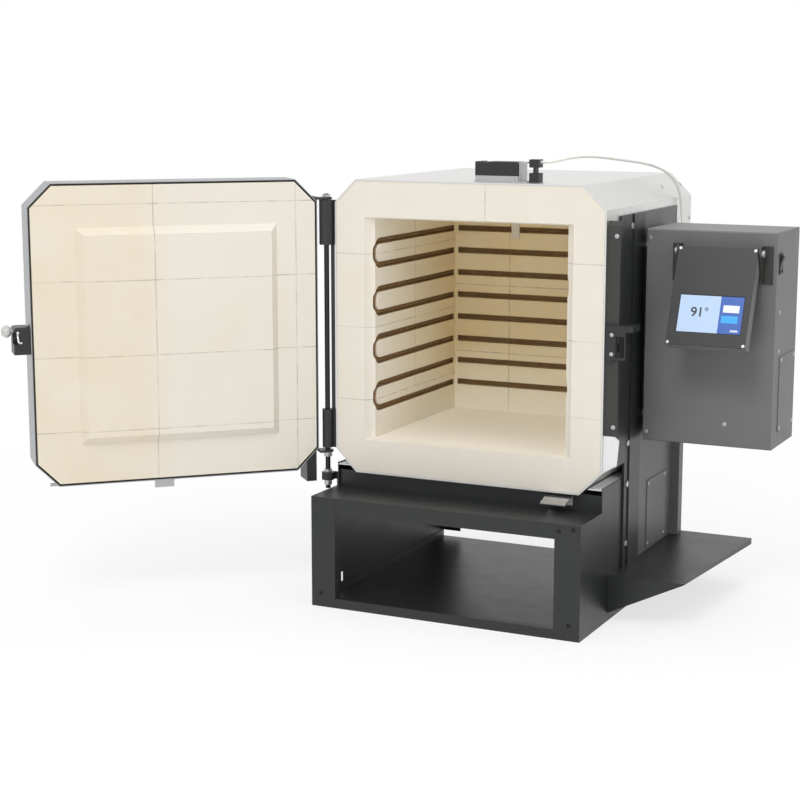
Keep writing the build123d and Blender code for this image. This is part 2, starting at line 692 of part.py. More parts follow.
edge_in = 7.0
jacket_screws = (270.0, case_top - 72.0)
with BuildPart() as case_screws:
    screws(front(front_y), stand_points, screw_d, 6)
    screws(chamfer_plane(1), [(148, 0), (case_back - edge_in, 0)], screw_d)
    screws(chamfer_plane(-1), [(edge_in - case_back, 0)], screw_d)
    screws(right(half_w), [(case_back - edge_in, jacket_screws[1])], screw_d)
    screws(left(-half_w), [(edge_in - case_back, z) for z in jacket_screws], screw_d)
    screws(right(half_w + cover_t + sheet), access_screws, small_screw, 4)
    screws(front(shield_y), shield_screws, screw_d, 5)
    screws(front(catch_y0), catch_screws, screw_d, 4)
    screws(right(box_right + box_t), panel_screws, small_screw, 5)
    screws(front(box_front), box_front_screws, screw_d, 5)
    screws(right(box_right), rim_screws, small_screw)
save(case_screws, "case_screws")

inside_back = box_back - box_t
relay_x = (262.0, 308.0)
relay_z = (box_low + 67.0, box_low + 122.0)
relay_h, relay_d, tab_in = 44.0, 26.0, 10.0
with BuildPart() as relays:
    for z in relay_z:
        block(relay_x, (inside_back - relay_d, inside_back), (z - relay_h / 2, z + relay_h / 2))
        for x in (relay_x[0] + tab_in, relay_x[1] - tab_in):
            for tab_z in (z - 12, z + 12):
                block((x - 5, x + 5), (inside_back - relay_d - 3, inside_back - relay_d),
                      (tab_z - 4, tab_z + 4))
save(relays, "relays")

core_x0, core_size, core_d = 330.0, 42.0, 40.0
core_low = box_low + 57.0
winding_t, winding_in = 7.0, 5.0
with BuildPart() as transformer:
    block((core_x0, core_x0 + core_size), (inside_back - core_d, inside_back),
          (core_low, core_low + core_size))
    block((core_x0 + 8, core_x0 + core_size - 8), (inside_back - core_d - winding_t, inside_back - core_d),
          (core_low + 6, core_low + core_size - 6))
    for z in (core_low - winding_t, core_low + core_size):
        block((core_x0 + winding_in, core_x0 + core_size - winding_in),
              (inside_back - core_d + winding_t, inside_back - winding_t), (z, z + winding_t))
save(transformer, "transformer")

gland_nut_d, gland_nut_h = 24.0, 14.0
with BuildPart() as power_gland:
    with Locations((gland_x, gland_y, box_low - gland_nut_h)):
        Cylinder(gland_nut_d / 2, gland_nut_h, align=(Align.CENTER, Align.CENTER, Align.MIN))
    with Locations((gland_x, gland_y, box_low)):
        Cylinder(gland_d / 2 - fit, 8, align=(Align.CENTER, Align.CENTER, Align.MIN))
        Cylinder(gland_d / 4, 60, mode=Mode.SUBTRACT)
    chamfer(power_gland.faces().sort_by(Axis.Z)[0].edges(), 2)
save(power_gland, "power_gland")

half_rw, half_rh = rocker_w / 2, rocker_h / 2
bezel_edge, bezel_proud, bezel_deep = 2.5, 2.0, 20.0
pin_d, pin_x = 3.0, box_right - 2.0
with BuildPart() as rocker_bezel:
    block((box_right, box_right + bezel_proud), (rocker_y - half_rw, rocker_y + half_rw),
          (rocker_z - half_rh, rocker_z + half_rh))
    block((box_right - bezel_deep, box_right), (rocker_y - half_rw + 1.1, rocker_y + half_rw - 1.1),
          (rocker_z - half_rh + 1.1, rocker_z + half_rh - 1.1))
    block((box_right - 12, box_right + bezel_proud),
          (rocker_y - half_rw + bezel_edge, rocker_y + half_rw - bezel_edge),
          (rocker_z - half_rh + bezel_edge, rocker_z + half_rh - bezel_edge), Mode.SUBTRACT)
    with Locations(Plane((pin_x, rocker_y, rocker_z), z_dir=(0, 1, 0))):
        Cylinder(pin_d / 2 + fit, rocker_w, mode=Mode.SUBTRACT)
save(rocker_bezel, "rocker_bezel")

key_h, key_w = half_rh - 4.6, half_rw - bezel_edge - 0.4
with BuildPart() as power_rocker:
    slab(front(rocker_y - key_w),
         [(box_right - 6, rocker_z - key_h + 2), (box_right + 1.5, rocker_z - key_h),
          (box_right + 2.5, rocker_z), (box_right + 6.5, rocker_z + key_h),
          (box_right - 6, rocker_z + key_h - 2)], 2 * key_w)
    with Locations(Plane((pin_x, rocker_y, rocker_z), z_dir=(0, 1, 0))):
        Cylinder(pin_d / 2, rocker_w - 3)
save(power_rocker, "power_rocker")

# Display: a shallow housing hung between two ears, its lower edge tilted out
tilt = radians(display_tilt)
display_plane = Plane((display_x, pivot_y, pivot_z), x_dir=(1, 0, 0), z_dir=(0, -cos(tilt), sin(tilt)))
face_high = pivot_drop
face_low = pivot_drop - display_h
half_dw = display_w / 2
ear_in = half_dw + 1.5
ear_t = 2.0
ear_flange = 15.0
ear_low, ear_high = pivot_z - 46.0, pivot_z + 10.0
pivot_d = 5.0
with BuildPart() as display_brackets:
    for side in (-1, 1):
        x0 = display_x + side * ear_in
        x1 = x0 + side * ear_t
        slab(right(max(x0, x1)), [(box_front, ear_low), (box_front, ear_high), (pivot_y - 7, ear_high),
                                  (pivot_y - 11, pivot_z + 1), (pivot_y - 7, pivot_z - 11),
                                  (box_front - 6, ear_low)], ear_t)
        block((x0, x0 + side * ear_flange), (box_front - ear_t, box_front), (ear_low, ear_high))
    with Locations(Plane((display_x, pivot_y, pivot_z), z_dir=(1, 0, 0))):
        Cylinder(pivot_d / 2 + fit, 2 * display_w, mode=Mode.SUBTRACT)
save(display_brackets, "display_brackets")


def display_at(depth):
    """Plane parallel to the screen, a distance behind the front of the housing."""
    return display_plane.offset(pivot_back - depth)


mid_v = (face_high + face_low) / 2
with BuildPart() as display_housing:
    with BuildSketch(display_at(face_t)):
        with Locations((0, mid_v)):
            Rectangle(display_w, display_h)
    extrude(amount=-(display_t - face_t))
    fillet(display_housing.faces().sort_by(Axis(display_plane.origin, display_plane.z_dir))[0].edges(), 3)
    with BuildSketch(display_at(0)):
        with Locations((0, mid_v)):
            Rectangle(display_w - 6, display_h - 6)
    extrude(amount=-(display_t - 2), mode=Mode.SUBTRACT)
    with Locations(Plane((display_x, pivot_y, pivot_z), z_dir=(1, 0, 0))):
        Cylinder(pivot_d / 2 + fit, 2 * display_w, mode=Mode.SUBTRACT)
save(display_housing, "display_housing")

screen_w, screen_h = 98.0, 58.0
screen_x, screen_v = 2.0, face_low + 48.4
plate_corner_in = 3.2
corner_points = [(u * (half_dw - plate_corner_in), mid_v + v * (display_h / 2 - plate_corner_in))
                 for u in (-1, 1) for v in (-1, 1)]
with BuildPart() as display_face:
    with BuildSketch(display_at(0)):
        with Locations((0, mid_v)):
            Rectangle(display_w, display_h)
        with Locations((screen_x, screen_v)):
            Rectangle(screen_w, screen_h, mode=Mode.SUBTRACT)
    extrude(amount=-face_t)
    drill(display_at(0), corner_points, 3, face_t)
save(display_face, "display_face")

with BuildPart() as screen:
    with BuildSketch(display_at(0.6)):
        with Locations((screen_x, screen_v)):
            Rectangle(screen_w - 0.4, screen_h - 0.4)
    extrude(amount=-4)
save(screen, "screen")

with BuildPart() as display_board:
    with BuildSketch(display_at(4.6)):
        with Locations((0, mid_v - 10)):
            Rectangle(display_w - 7, display_h - 34)
    extrude(amount=-1.6)
    with BuildSketch(display_at(6.2)):
        with Locations((-24, mid_v - 4), (20, mid_v - 30), (26, mid_v + 12)):
            Rectangle(22, 16)
    extrude(amount=-5)
save(display_board, "display_board")

thumb_run = 9.0
with BuildPart() as display_screws:
    screws(display_at(0), corner_points, 3, 2)
    for side in (-1, 1):
        with Locations(Plane((display_x + side * (ear_in + ear_t), pivot_y, pivot_z), z_dir=(side, 0, 0))):
            Cylinder(pivot_d, thumb_run, align=(Align.CENTER, Align.CENTER, Align.MIN))
        with Locations(Plane((display_x + side * (half_dw - 3), pivot_y, pivot_z), z_dir=(side, 0, 0))):
            Cylinder(pivot_d / 2, ear_in - half_dw + ear_t + 3, align=(Align.CENTER, Align.CENTER, Align.MIN))
save(display_screws, "display_screws")

# Door, in its own frame: s across from the hinge edge, t out of the brick face, z up
turn = radians(180 - open_angle)
along = (-cos(turn), -sin(turn), 0)
edge_x = axis_x + axis_out * along[0] + (axis_front - face_clearance) * sin(turn)
edge_y = axis_y + axis_out * along[1] - (axis_front - face_clearance) * cos(turn)
door_frame = Plane((edge_x, edge_y, 0), x_dir=along, z_dir=(0, 0, 1))
axis_s, axis_t = -axis_out, -(axis_front - face_clearance)
pan_t = 1.2
rim_low = 0.5


def door_face(t):
    """Plane facing out of the brick face at t, its local axes along s (reversed) and z."""
    return Plane(door_frame.from_local_coords((0, t, 0)), x_dir=tuple(-a for a in along),
                 z_dir=door_frame.y_dir)


def door_shape(t0, t1, inset, mode=Mode.ADD):
    """The door's outline, drawn in by inset, from t0 back to t1."""
    cut = door_chamfer - inset * (2 - 2 ** 0.5)
    octagon(door_face(t0), door_w - 2 * inset, door_h - 2 * inset, -door_w / 2, door_z + door_h / 2,
            cut, t0 - t1, mode)


with BuildPart() as door_pan:
    door_shape(-rim_low, -door_t, 0)
    door_shape(-rim_low, -door_t + pan_t, pan_t, Mode.SUBTRACT)
save(door_pan, "door_pan")

brick_inset = pan_t + door_gap
plug_low, plug_high = floor_z + plug_lift, ceiling_z - plug_fall
door_seams_z = [door_z + door_seam_lift + course * n for n in range(course_count)]
with BuildPart(door_frame) as door_bricks:
    door_shape(0, -door_t + pan_t, brick_inset)
    for t, draw in ((0, 0), (plug_raise, plug_raise)):
        with BuildSketch(door_face(t)):
            with Locations((-(plug_left + plug_right) / 2, (plug_low + plug_high) / 2)):
                Rectangle(plug_right - plug_left - 2 * draw, plug_high - plug_low - 2 * draw)
    loft()
    for s in door_seams_s:
        seam = Plane(door_frame.from_local_coords((s, 0, 0)), z_dir=along)
        split(bisect_by=seam, keep=Keep.BOTH)
    for z in door_seams_z:
        split(bisect_by=Plane.XY.offset(z), keep=Keep.BOTH)
save(door_bricks, "door_bricks")

gasket_t0, gasket_t1 = -5.0, -13.0
with BuildPart() as door_gasket:
    door_shape(gasket_t0, gasket_t1, pan_t)
    door_shape(gasket_t0, gasket_t1, brick_inset, Mode.SUBTRACT)
save(door_gasket, "door_gasket")

# Hinge strap on the edge of the pan, with a lug above and below the fixed blocks
strap_t = 2.5
strap_t0, strap_t1 = -46.0, -10.0
lug_r, lug_t = 9.0, 3.5
lug_back = -14.0
upper_lug = (door_top - 32.0, door_top - 32.0 + lug_t)
lower_lug = (door_z + 28.0, door_z + 28.0 + lug_t)
with BuildPart(door_frame) as door_strap:
    block((-strap_t, 0), (strap_t0, strap_t1), (lower_lug[0], upper_lug[1]))
    for low, high in (upper_lug, lower_lug):
        block((axis_s, 0), (lug_back, axis_t + lug_r), (low, high))
        with Locations((axis_s, axis_t, low)):
            Cylinder(lug_r, high - low, align=(Align.CENTER, Align.CENTER, Align.MIN))
    with Locations((axis_s, axis_t, (door_z + door_top) / 2)):
        Cylinder(rod_d / 2 + fit, 2 * door_h, mode=Mode.SUBTRACT)
save(door_strap, "door_strap")

bracket_s, bracket_t = (228.0, 262.0), (-58.0, -12.0)
tongue_s, tongue_t, tongue_h = (230.0, 260.0), (-20.0, -17.0), 12.0
stud_s, stud_t = (408.0, 420.0), (-30.0, -24.0)
bracket_h = 3.0
with BuildPart(door_frame) as door_fittings:
    block(bracket_s, bracket_t, (door_z - bracket_h, door_z))
    block(tongue_s, tongue_t, (door_z - bracket_h - tongue_h, door_z - bracket_h))
    block(stud_s, stud_t, (door_z - bracket_h - 1, door_z))
save(door_fittings, "door_fittings")

foot_s0, foot_s1, foot_fall = -2.0, -18.0, 20.0
with BuildPart(door_frame) as door_foot:
    slab(door_face(-8), [(foot_s0, door_z - foot_fall), (foot_s1, door_z - foot_fall),
                         (foot_s1, door_z + door_chamfer + foot_s1),
                         (foot_s0, door_z + door_chamfer + foot_s0)], 40)
save(door_foot, "door_foot")

# Latch: a sprung slide through a block on the free edge; its hook sits behind the catch plate
latch_s0 = door_w
latch_low, latch_high = hook_z - 20.0, hook_z + 21.0
latch_rod_z = hook_z + 14.0
rod_t = -24.0
rod_s0, rod_run = latch_s0 + 6.0, 27.0
hook_s = latch_s0 + 19.5
hook_w, shank_w, lip_w = 1.6, 3.0, 7.0
hook_half_h = 3.0
lip_t0, lip_t1 = 5.4, 8.4
with BuildPart(door_frame) as latch_body:
    block((latch_s0, latch_s0 + latch_w), (latch_t_far, latch_t_near), (latch_low, latch_high))
    chamfer(latch_body.edges().filter_by(lambda e: e.center().Z > latch_high - 1), 3)
    block((hook_s - shank_w - fit * 3, latch_s0 + latch_w + 1), (rod_t - 2.5, latch_t_near + 1),
          (hook_z - hook_half_h - 1, latch_rod_z), Mode.SUBTRACT)
    with Locations(Plane((rod_s0 - 1, rod_t, latch_rod_z), z_dir=(1, 0, 0))):
        Cylinder(latch_rod_d / 2 + fit, 2 * rod_run, align=(Align.CENTER, Align.CENTER, Align.MIN),
                 mode=Mode.SUBTRACT)
save(latch_body, "latch_body")

knob_s = latch_s0 + latch_w + knob_gap
with BuildPart(door_frame) as latch_slide:
    with Locations(Plane((rod_s0, rod_t, latch_rod_z), z_dir=(1, 0, 0))):
        Cylinder(latch_rod_d / 2, rod_run, align=(Align.CENTER, Align.CENTER, Align.MIN))
    with Locations(Plane((knob_s, rod_t, latch_rod_z), z_dir=(1, 0, 0))):
        Cylinder(knob_d / 2, knob_w, align=(Align.CENTER, Align.CENTER, Align.MIN))
    fillet(latch_slide.edges().filter_by(GeomType.CIRCLE).filter_by(lambda e: e.radius > knob_d / 2 - 1),
           knob_round)
    block((hook_s - shank_w, hook_s + hook_w), (rod_t - 2, latch_t_near), (hook_z - hook_half_h, latch_rod_z))
    block((hook_s - hook_w, hook_s + hook_w), (latch_t_near, lip_t1),
          (hook_z - hook_half_h, hook_z + hook_half_h))
    block((hook_s - lip_w, hook_s + hook_w), (lip_t0, lip_t1), (hook_z - hook_half_h, hook_z + hook_half_h))
save(latch_slide, "latch_slide")

# Hinge: one long rod in blocks on the side of the case, with a bar between them and a
# bracket on the stand under its lower end
rod_low, rod_high = case_z - 30.0, door_top - 23.0
upper_block = (door_top - 102.0, upper_lug[0] - 1.0)
lower_block = (lower_lug[1] + 4.0, lower_lug[1] + 65.5)
upper_r, lower_r = 11.2, 8.4
bottom_lug = (case_z - 16.0, case_z - 4.0)
bottom_r = 10.0
with BuildPart() as hinge_rod:
    with Locations((axis_x, axis_y, rod_low)):
        Cylinder(rod_d / 2, rod_high - rod_low, align=(Align.CENTER, Align.CENTER, Align.MIN))
    chamfer(hinge_rod.faces().sort_by(Axis.Z)[-1].edges(), 1)
save(hinge_rod, "hinge_rod")

foot_t, foot_run = 2.4, 42.0
link_x0, link_x1 = 6.5, 11.0
with BuildPart() as hinge_blocks:
    for (low, high), r in ((upper_block, upper_r), (lower_block, lower_r)):
        with Locations((axis_x, axis_y, low)):
            Cylinder(r, high - low, align=(Align.CENTER, Align.CENTER, Align.MIN))
        block((axis_x, -half_w), (face_y + 1, axis_y + r), (low, high))
        block((-half_w - foot_t, -half_w), (face_y + 1, face_y + foot_run), (low, high))
    block((axis_x + link_x0, axis_x + link_x1), (face_y + 1, face_y + 5.5), (lower_block[1], upper_block[0]))
    low, high = bottom_lug
    with Locations((axis_x, axis_y, low)):
        Cylinder(bottom_r, high - low, align=(Align.CENTER, Align.CENTER, Align.MIN))
    block((axis_x, -half_w), (face_y + 6, axis_y + bottom_r), (low, high))
    block((-half_w - foot_t, -half_w), (face_y + 6, face_y + foot_run + 6), (stand_h - 25, high))
    with Locations((axis_x, axis_y, (rod_low + rod_high) / 2)):
        Cylinder(rod_d / 2 + fit, 2 * case_h, mode=Mode.SUBTRACT)
save(hinge_blocks, "hinge_blocks")

collar_gap = 0.3
collars = [(lower_lug[0] - 7, lower_lug[0] - collar_gap, 7.5),
           (upper_lug[1] + collar_gap, upper_lug[1] + 4.3, 7.0),
           (bottom_lug[0] - 8, bottom_lug[0] - collar_gap, 7.0),
           (bottom_lug[1] + collar_gap, bottom_lug[1] + 5, 7.0)]
with BuildPart() as hinge_collars:
    for low, high, r in collars:
        with BuildSketch(Plane.XY.offset(low)):
            with Locations((axis_x, axis_y)):
                RegularPolygon(r, 6)
                Circle(rod_d / 2 + fit / 2, mode=Mode.SUBTRACT)
        extrude(amount=high - low)
save(hinge_collars, "hinge_collars")

# Door switch on the front edge of the case top
base_z = case_top + 1.5
bracket_x = switch_x1 + 1.0
bracket_end = switch_x1 + 14.0
socket_x0, socket_x1 = bracket_end + 0.3, switch_x1 + 30.0
socket_in, plunger_x = 6.0, switch_x1 + 20.0
with BuildPart() as switch_base:
    block((switch_x0 - 1, bracket_end), (switch_y0 - 2, switch_y1 + 2), (case_top, base_z))
    block((switch_x0, switch_x1), (switch_y0, switch_y1), (base_z, switch_low))
    block((bracket_x, bracket_x + sheet), (switch_y0, switch_y1), (base_z, switch_high))
    block((bracket_x + sheet, bracket_end), (switch_y0, switch_y1), (switch_high - sheet, switch_high))
    for x in (switch_x0 + 4, switch_x1 - 8):
        with Locations((x, switch_y0, (case_top + switch_low) / 2 + 0.5)):
            Cylinder(2.2, 2, rotation=(90, 0, 0))
save(switch_base, "switch_base")

with BuildPart() as door_switch:
    block((switch_x0, switch_x1), (switch_y0, switch_y1), (switch_low, switch_high))
    fillet(door_switch.edges().filter_by(Axis.Y).group_by(Axis.Z)[-1].sort_by(Axis.X)[-1], 4)
    block((switch_x0 + 8, switch_x0 + 20), (switch_y0, switch_y1), (switch_high - 1.2, switch_high),
          Mode.SUBTRACT)
    block((socket_x0, socket_x1), (switch_y0 + socket_in, switch_y1 - socket_in),
          (switch_high - 8, switch_high + 4))
    block((socket_x0, socket_x1), (switch_y0 + socket_in, switch_y1 - socket_in),
          (case_top, switch_high - 16))
    block((plunger_x, plunger_x + 4), (switch_y0 + socket_in + 2, switch_y1 - socket_in - 2),
          (switch_high - 16, switch_high - 8))
save(door_switch, "door_switch")

# White lead from the switch over the rear corner of the case and into the back of the control
# box: each point's x and y, and how far it lies below the switch's top
lead_mid_y = (switch_y0 + switch_y1) / 2
lead_places = [(socket_x1, lead_mid_y, 0), (121, lead_mid_y, 0), (144, -104, -7), (161, -70, -8),
               (173, -26, -4), (184, 20, 1), (196, 66, 6), (208, 110, 14), (218, 146, 27), (225, 170, 48),
               (227.5, 179, 74), (230, 178, 98), (237, 168, 120), (245.5, 152, 138),
               (lead_x, box_back + 18, lead_fall), (lead_x, box_back - 2, lead_fall)]
lead_route = [(x, y, switch_high - fall) for x, y, fall in lead_places]


def corner_radii(points):
    """0.45 of the shorter run beside each corner, over the tangent of half its turn."""
    radii = []
    for a, b, c in zip(points, points[1:], points[2:]):
        first, second = Vector(*b) - Vector(*a), Vector(*c) - Vector(*b)
        half = radians(first.get_angle(second)) / 2
        radii.append(0.45 * min(first.length, second.length) / tan(half))
    return radii


lead_radii = corner_radii(lead_route)
with BuildPart() as switch_lead:
    with BuildLine() as lead_line:
        FilletPolyline(*lead_route, radius=lead_radii)
    start_dir = Vector(*lead_route[1]) - Vector(*lead_route[0])
    with BuildSketch(Plane(lead_route[0], z_dir=start_dir)):
        Circle(lead_d / 2)
    sweep(path=lead_line.line)
save(switch_lead, "switch_lead")
print("lead radii", [round(r) for r in lead_radii])
lead_length = sum(edge.length for edge in lead_line.line.edges())
print("lead length", round(lead_length, 1),
      "volume over section", round(switch_lead.part.volume / (pi * lead_d ** 2 / 4), 1))
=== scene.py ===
"""Looks of a bench heat treat oven: finishes, heating coils, screen, screws, lead and stage."""
import json
from functools import partial
from math import atan2, cos, pi, radians, sin

import bpy
from mathutils import Matrix, Vector


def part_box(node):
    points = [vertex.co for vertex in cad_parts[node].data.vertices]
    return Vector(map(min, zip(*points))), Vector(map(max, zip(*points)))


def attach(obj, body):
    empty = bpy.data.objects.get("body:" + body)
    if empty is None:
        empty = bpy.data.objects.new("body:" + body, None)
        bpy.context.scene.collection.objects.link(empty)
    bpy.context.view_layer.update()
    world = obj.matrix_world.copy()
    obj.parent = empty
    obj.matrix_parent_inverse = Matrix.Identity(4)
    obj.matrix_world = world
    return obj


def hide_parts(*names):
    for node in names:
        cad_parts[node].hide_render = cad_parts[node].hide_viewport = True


bl_info = {
    "name": "Heat Treat Oven",
    "version": (1, 0, 0),
    "blender": (4, 5, 0),
    "location": "3D View > Sidebar > Oven",
    "description": "Finishes and fine pieces of a bench heat treat oven",
    "category": "Object",
}

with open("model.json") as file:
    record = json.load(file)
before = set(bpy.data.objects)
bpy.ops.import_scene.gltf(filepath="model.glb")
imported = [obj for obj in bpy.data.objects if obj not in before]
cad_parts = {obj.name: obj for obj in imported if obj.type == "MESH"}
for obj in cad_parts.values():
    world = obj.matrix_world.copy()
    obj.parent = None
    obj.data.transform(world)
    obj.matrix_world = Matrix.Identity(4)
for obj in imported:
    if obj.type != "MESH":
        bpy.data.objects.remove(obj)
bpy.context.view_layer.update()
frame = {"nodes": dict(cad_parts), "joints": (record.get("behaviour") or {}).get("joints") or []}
MM = 0.001

# Places taken from the frame
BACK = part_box("back_bricks")
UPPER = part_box("upper_element")
FACE_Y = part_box("jacket_front")[0][1]
CHAMBER_BACK = BACK[0][1]
CHAMBER_X = BACK[1][0]
CEILING = BACK[1][2]
FLOOR = BACK[0][2]

# Joints between the lining's bricks
COURSE = 114.3 * MM
FIRST_COURSE = 202.3 * MM
ROOF_SEAM = 30.8 * MM
BACK_SEAM_X = -59.0 * MM
BACK_SEAM_Z = (469.5 * MM, 355.2 * MM)
WALL_SEAM_Y = -3.0 * MM
NEAR = 0.8 * MM

# Heating elements: rows, and the bends of a path (tails, back corners, rounded links of the hairpins)
ELEMENT_D = 7 * MM
ELEMENT_DEPTH = 5.5 * MM
ELEMENT_FRONT = 15 * MM
TAIL_X = 140 * MM
ROW_PITCH = (UPPER[1][2] - UPPER[0][2] - ELEMENT_D) / 3
FIRST_ROW = UPPER[1][2] - ELEMENT_D / 2
TAIL, CORNER, LINK = 7 * MM, 6 * MM, 14 * MM
BENDS = (TAIL, CORNER, LINK, LINK, CORNER, CORNER, LINK, LINK, CORNER, CORNER, LINK, LINK, CORNER, TAIL)
BEND_STEPS = 8
TURN_STEPS = 8

# Door frame: s runs across the door from its hinge edge, t out of the bricks
DOOR_TURN = radians(180 - 135.78)
ALONG = Vector((-cos(DOOR_TURN), -sin(DOOR_TURN), 0))
OUT = Vector((sin(DOOR_TURN), -cos(DOOR_TURN), 0))
HINGE = Vector([j for j in frame["joints"] if j["name"] == "door_swing"][0]["pos_m"])
DOOR_EDGE = HINGE + ALONG * 14.6 * MM + OUT * 0.56 * MM
DOOR_EDGE.z = 0
DOOR_W = 444.5
DOOR_SEAMS_S = (34.8 * MM, 257.0 * MM)
DOOR_SEAMS_Z = (284.2 * MM, 398.5 * MM, 512.8 * MM, 627.1 * MM)

# Display frame: u to the right, v up the tilted face
TILT = radians(22.2)
DISPLAY_UP = Vector((0, sin(TILT), cos(TILT)))
DISPLAY_OUT = Vector((0, -cos(TILT), sin(TILT)))
PIVOT = Vector([j for j in frame["joints"] if j["name"] == "display_tilt"][0]["pos_m"])
DISPLAY_FACE = 12.3
SCREEN_MID_U = 2.0 * MM
SCREEN_MID_V = (3.6 - 151.0 + 48.4) * MM
SCREEN_W, SCREEN_H = 98.0 * MM, 58.0 * MM

# Route of the switch lead, from the switch to the back of the control box, in millimetres
LEAD_ROUTE = [(103.5, -120, 690), (121, -120, 690), (144, -104, 697), (161, -70, 698), (173, -26, 694),
              (184, 20, 689), (196, 66, 684), (208, 110, 676), (218, 146, 663), (225, 170, 642),
              (227.5, 179, 616), (230, 178, 592), (237, 168, 570), (245.5, 152, 552), (252, 133, 540),
              (252, 113, 540)]

# Screws as (place, outward, diameter), in millimetres
HALF_W, CUT_Z = 222.25, 660 - 17.75
CUT_X = HALF_W - 17.75
FRONT, LEFT, RIGHT = (0, -1, 0), (-1, 0, 0), (1, 0, 0)
SHIELD_SCREWS = [((236.5, -155, z), FRONT, 4) for z in (587.7, 306.2)]
CATCH_SCREWS = [((233, -159.5, z), FRONT, 3.6) for z in (444, 415.5)]
JACKET_SCREWS = [((CUT_X, y, CUT_Z), (1, 0, 1), 4) for y in (148, 243)]
JACKET_SCREWS += [((-CUT_X, 243, CUT_Z), (-1, 0, 1), 4), ((HALF_W, 243, 588), RIGHT, 4)]
JACKET_SCREWS += [((-HALF_W, 243, z), LEFT, 4) for z in (588, 270)]
ACCESS_SCREWS = [((227.05, y, z), RIGHT, 3.5) for y in (49, 132) for z in (82, 180)]
BOX_SCREWS = [((240.3, -14, z), FRONT, 4) for z in (574.6, 276.8)]
BOX_SCREWS += [((437.2, y, z), RIGHT, 3.5) for y in (27, 102) for z in (291, 395)]
BOX_SCREWS += [((436, 11, 469.2), RIGHT, 3.5), ((436, 13, 410.1), RIGHT, 3.5), ((364, -14, 298), FRONT, 4)]
STAND_SCREWS = [((x, -244, z), FRONT, 4) for x, z in ((-206, 22), (205, 23.5), (188, 164), (210, 168))]
RAIL_BOLTS = [(225.25, -55, z) for z in (106.5, 200, 264, 595)]
FACE_SCREWS = [(u, v) for u in (-56.8, 56.8) for v in (0.4, -144.2)]
FACE_STUDS = [(u, v) for u in (-39, 41) for v in (-60, -139)]
THUMB_SCREWS = [((354 + side * 63.5, -30, 559), (side, 0, 0)) for side in (-1, 1)]

# Latch pull, as places past the door's edge, out of the bricks and up, in millimetres
LATCH_ROD = [(6, -24, 439), (20, -24, 439), (34, -24, 439)]
LATCH_HOOK = [(18.4, -25, 438.6), (18.4, -10, 438.6), (18.9, -3, 438.4), (19.5, 0.6, 436.6),
              (19.6, 3.4, 432.4), (19.4, 5.6, 427.6), (18.6, 6.8, 425.2), (16.6, 6.9, 424.6),
              (14.8, 6.6, 424.8)]
LATCH_BALLS = (((18.6, -3.0, 438.5), 2.5), ((15.0, 6.6, 425.0), 1.7))
LATCH_KNOB = (33.6, -24, 439)

# Camera fitted to the photograph, and lamps as (name, place, size, watts)
CAMERA_AT = (1.1039, -2.6455, 0.8082)
CAMERA_TURN = (radians(90 - 9.98), 0, radians(26.03))
CAMERA_LENS = 81.5
LAMPS = (("key", (-2.4, -3.0, 3.0), 2.6, 5.0), ("fill", (3.4, -1.6, 1.8), 2.4, 15.0),
         ("front", (0.5, -4.2, 1.0), 1.8, 8.0), ("high", (0.3, -2.6, 2.9), 1.2, 48.0),
         ("top", (0.2, 0.6, 3.4), 5.5, 90.0))
LAMP_AIM = Vector((0, 0, 0.35))


def srgb(code):
    """A colour written as sRGB hex, as linear red, green, blue and alpha."""
    parts = [int(code[i:i + 2], 16) / 255 for i in (1, 3, 5)]
    return [c / 12.92 if c <= 0.04045 else ((c + 0.055) / 1.055) ** 2.4 for c in parts] + [1.0]


def tint(colour, gain, lift=0.0):
    """A colour made paler or darker."""
    return [min(1, c * gain + lift) for c in colour[:3]] + [1]


def colour_prop(name, description, code):
    """A colour setting with its default as sRGB hex."""
    return bpy.props.FloatVectorProperty(name=name, description=description, subtype="COLOR", size=4,
                                         min=0, max=1, default=srgb(code))


def length_prop(name, description, mm):
    """A length setting with its default in millimetres."""
    return bpy.props.FloatProperty(name=name, description=description, default=mm * MM, min=0,
                                   unit="LENGTH")


class OvenColours(bpy.types.PropertyGroup):
    """Colours of the oven's finishes."""
    brick: colour_prop("Firebrick", "Face of the insulating firebrick", "#e8e3d8")
    brick_warm: colour_prop("Warm brick", "Brick that has seen heat", "#f2d99e")
    jacket: colour_prop("Jacket steel", "Brushed stainless sheet", "#dedddb")
    black: colour_prop("Black coat", "Powder coat of the stand", "#1f2122")
    grey: colour_prop("Grey coat", "Powder coat of the control box", "#6b6c6b")
    wire: colour_prop("Element wire", "Oxidised resistance wire", "#b4946a")
    screen: colour_prop("Screen", "Pale half of the screen", "#bcd4f0")
    lead: colour_prop("Lead", "White sleeve of the switch lead", "#e4e2dc")


class OvenSizes(bpy.types.PropertyGroup):
    """Sizes of the pieces that are made here."""
    wire: length_prop("Wire", "Diameter of the element wire", 1.5)
    coil: length_prop("Coil", "Outer diameter of the element coil", 6.8)
    coil_pitch: length_prop("Coil pitch", "Distance between the coil's turns", 4.2)
    lead: length_prop("Lead", "Diameter of the switch lead", 4.0)


def feed(node, inputs):
    """Give a node's inputs their values, or the sockets that feed them."""
    for key, value in inputs.items():
        if isinstance(value, bpy.types.NodeSocket):
            node.id_data.links.new(value, node.inputs[key])
        else:
            node.inputs[key].default_value = value


def add_node(tree, kind, inputs=(), out=0, **settings):
    """Add a node with its inputs (by place or name) and settings; gives one output, or all for None."""
    node = tree.nodes.new("ShaderNode" + kind)
    for key, value in settings.items():
        setattr(node, key, value)
    feed(node, inputs if isinstance(inputs, dict) else dict(enumerate(inputs)))
    return node.outputs if out is None else node.outputs[out]


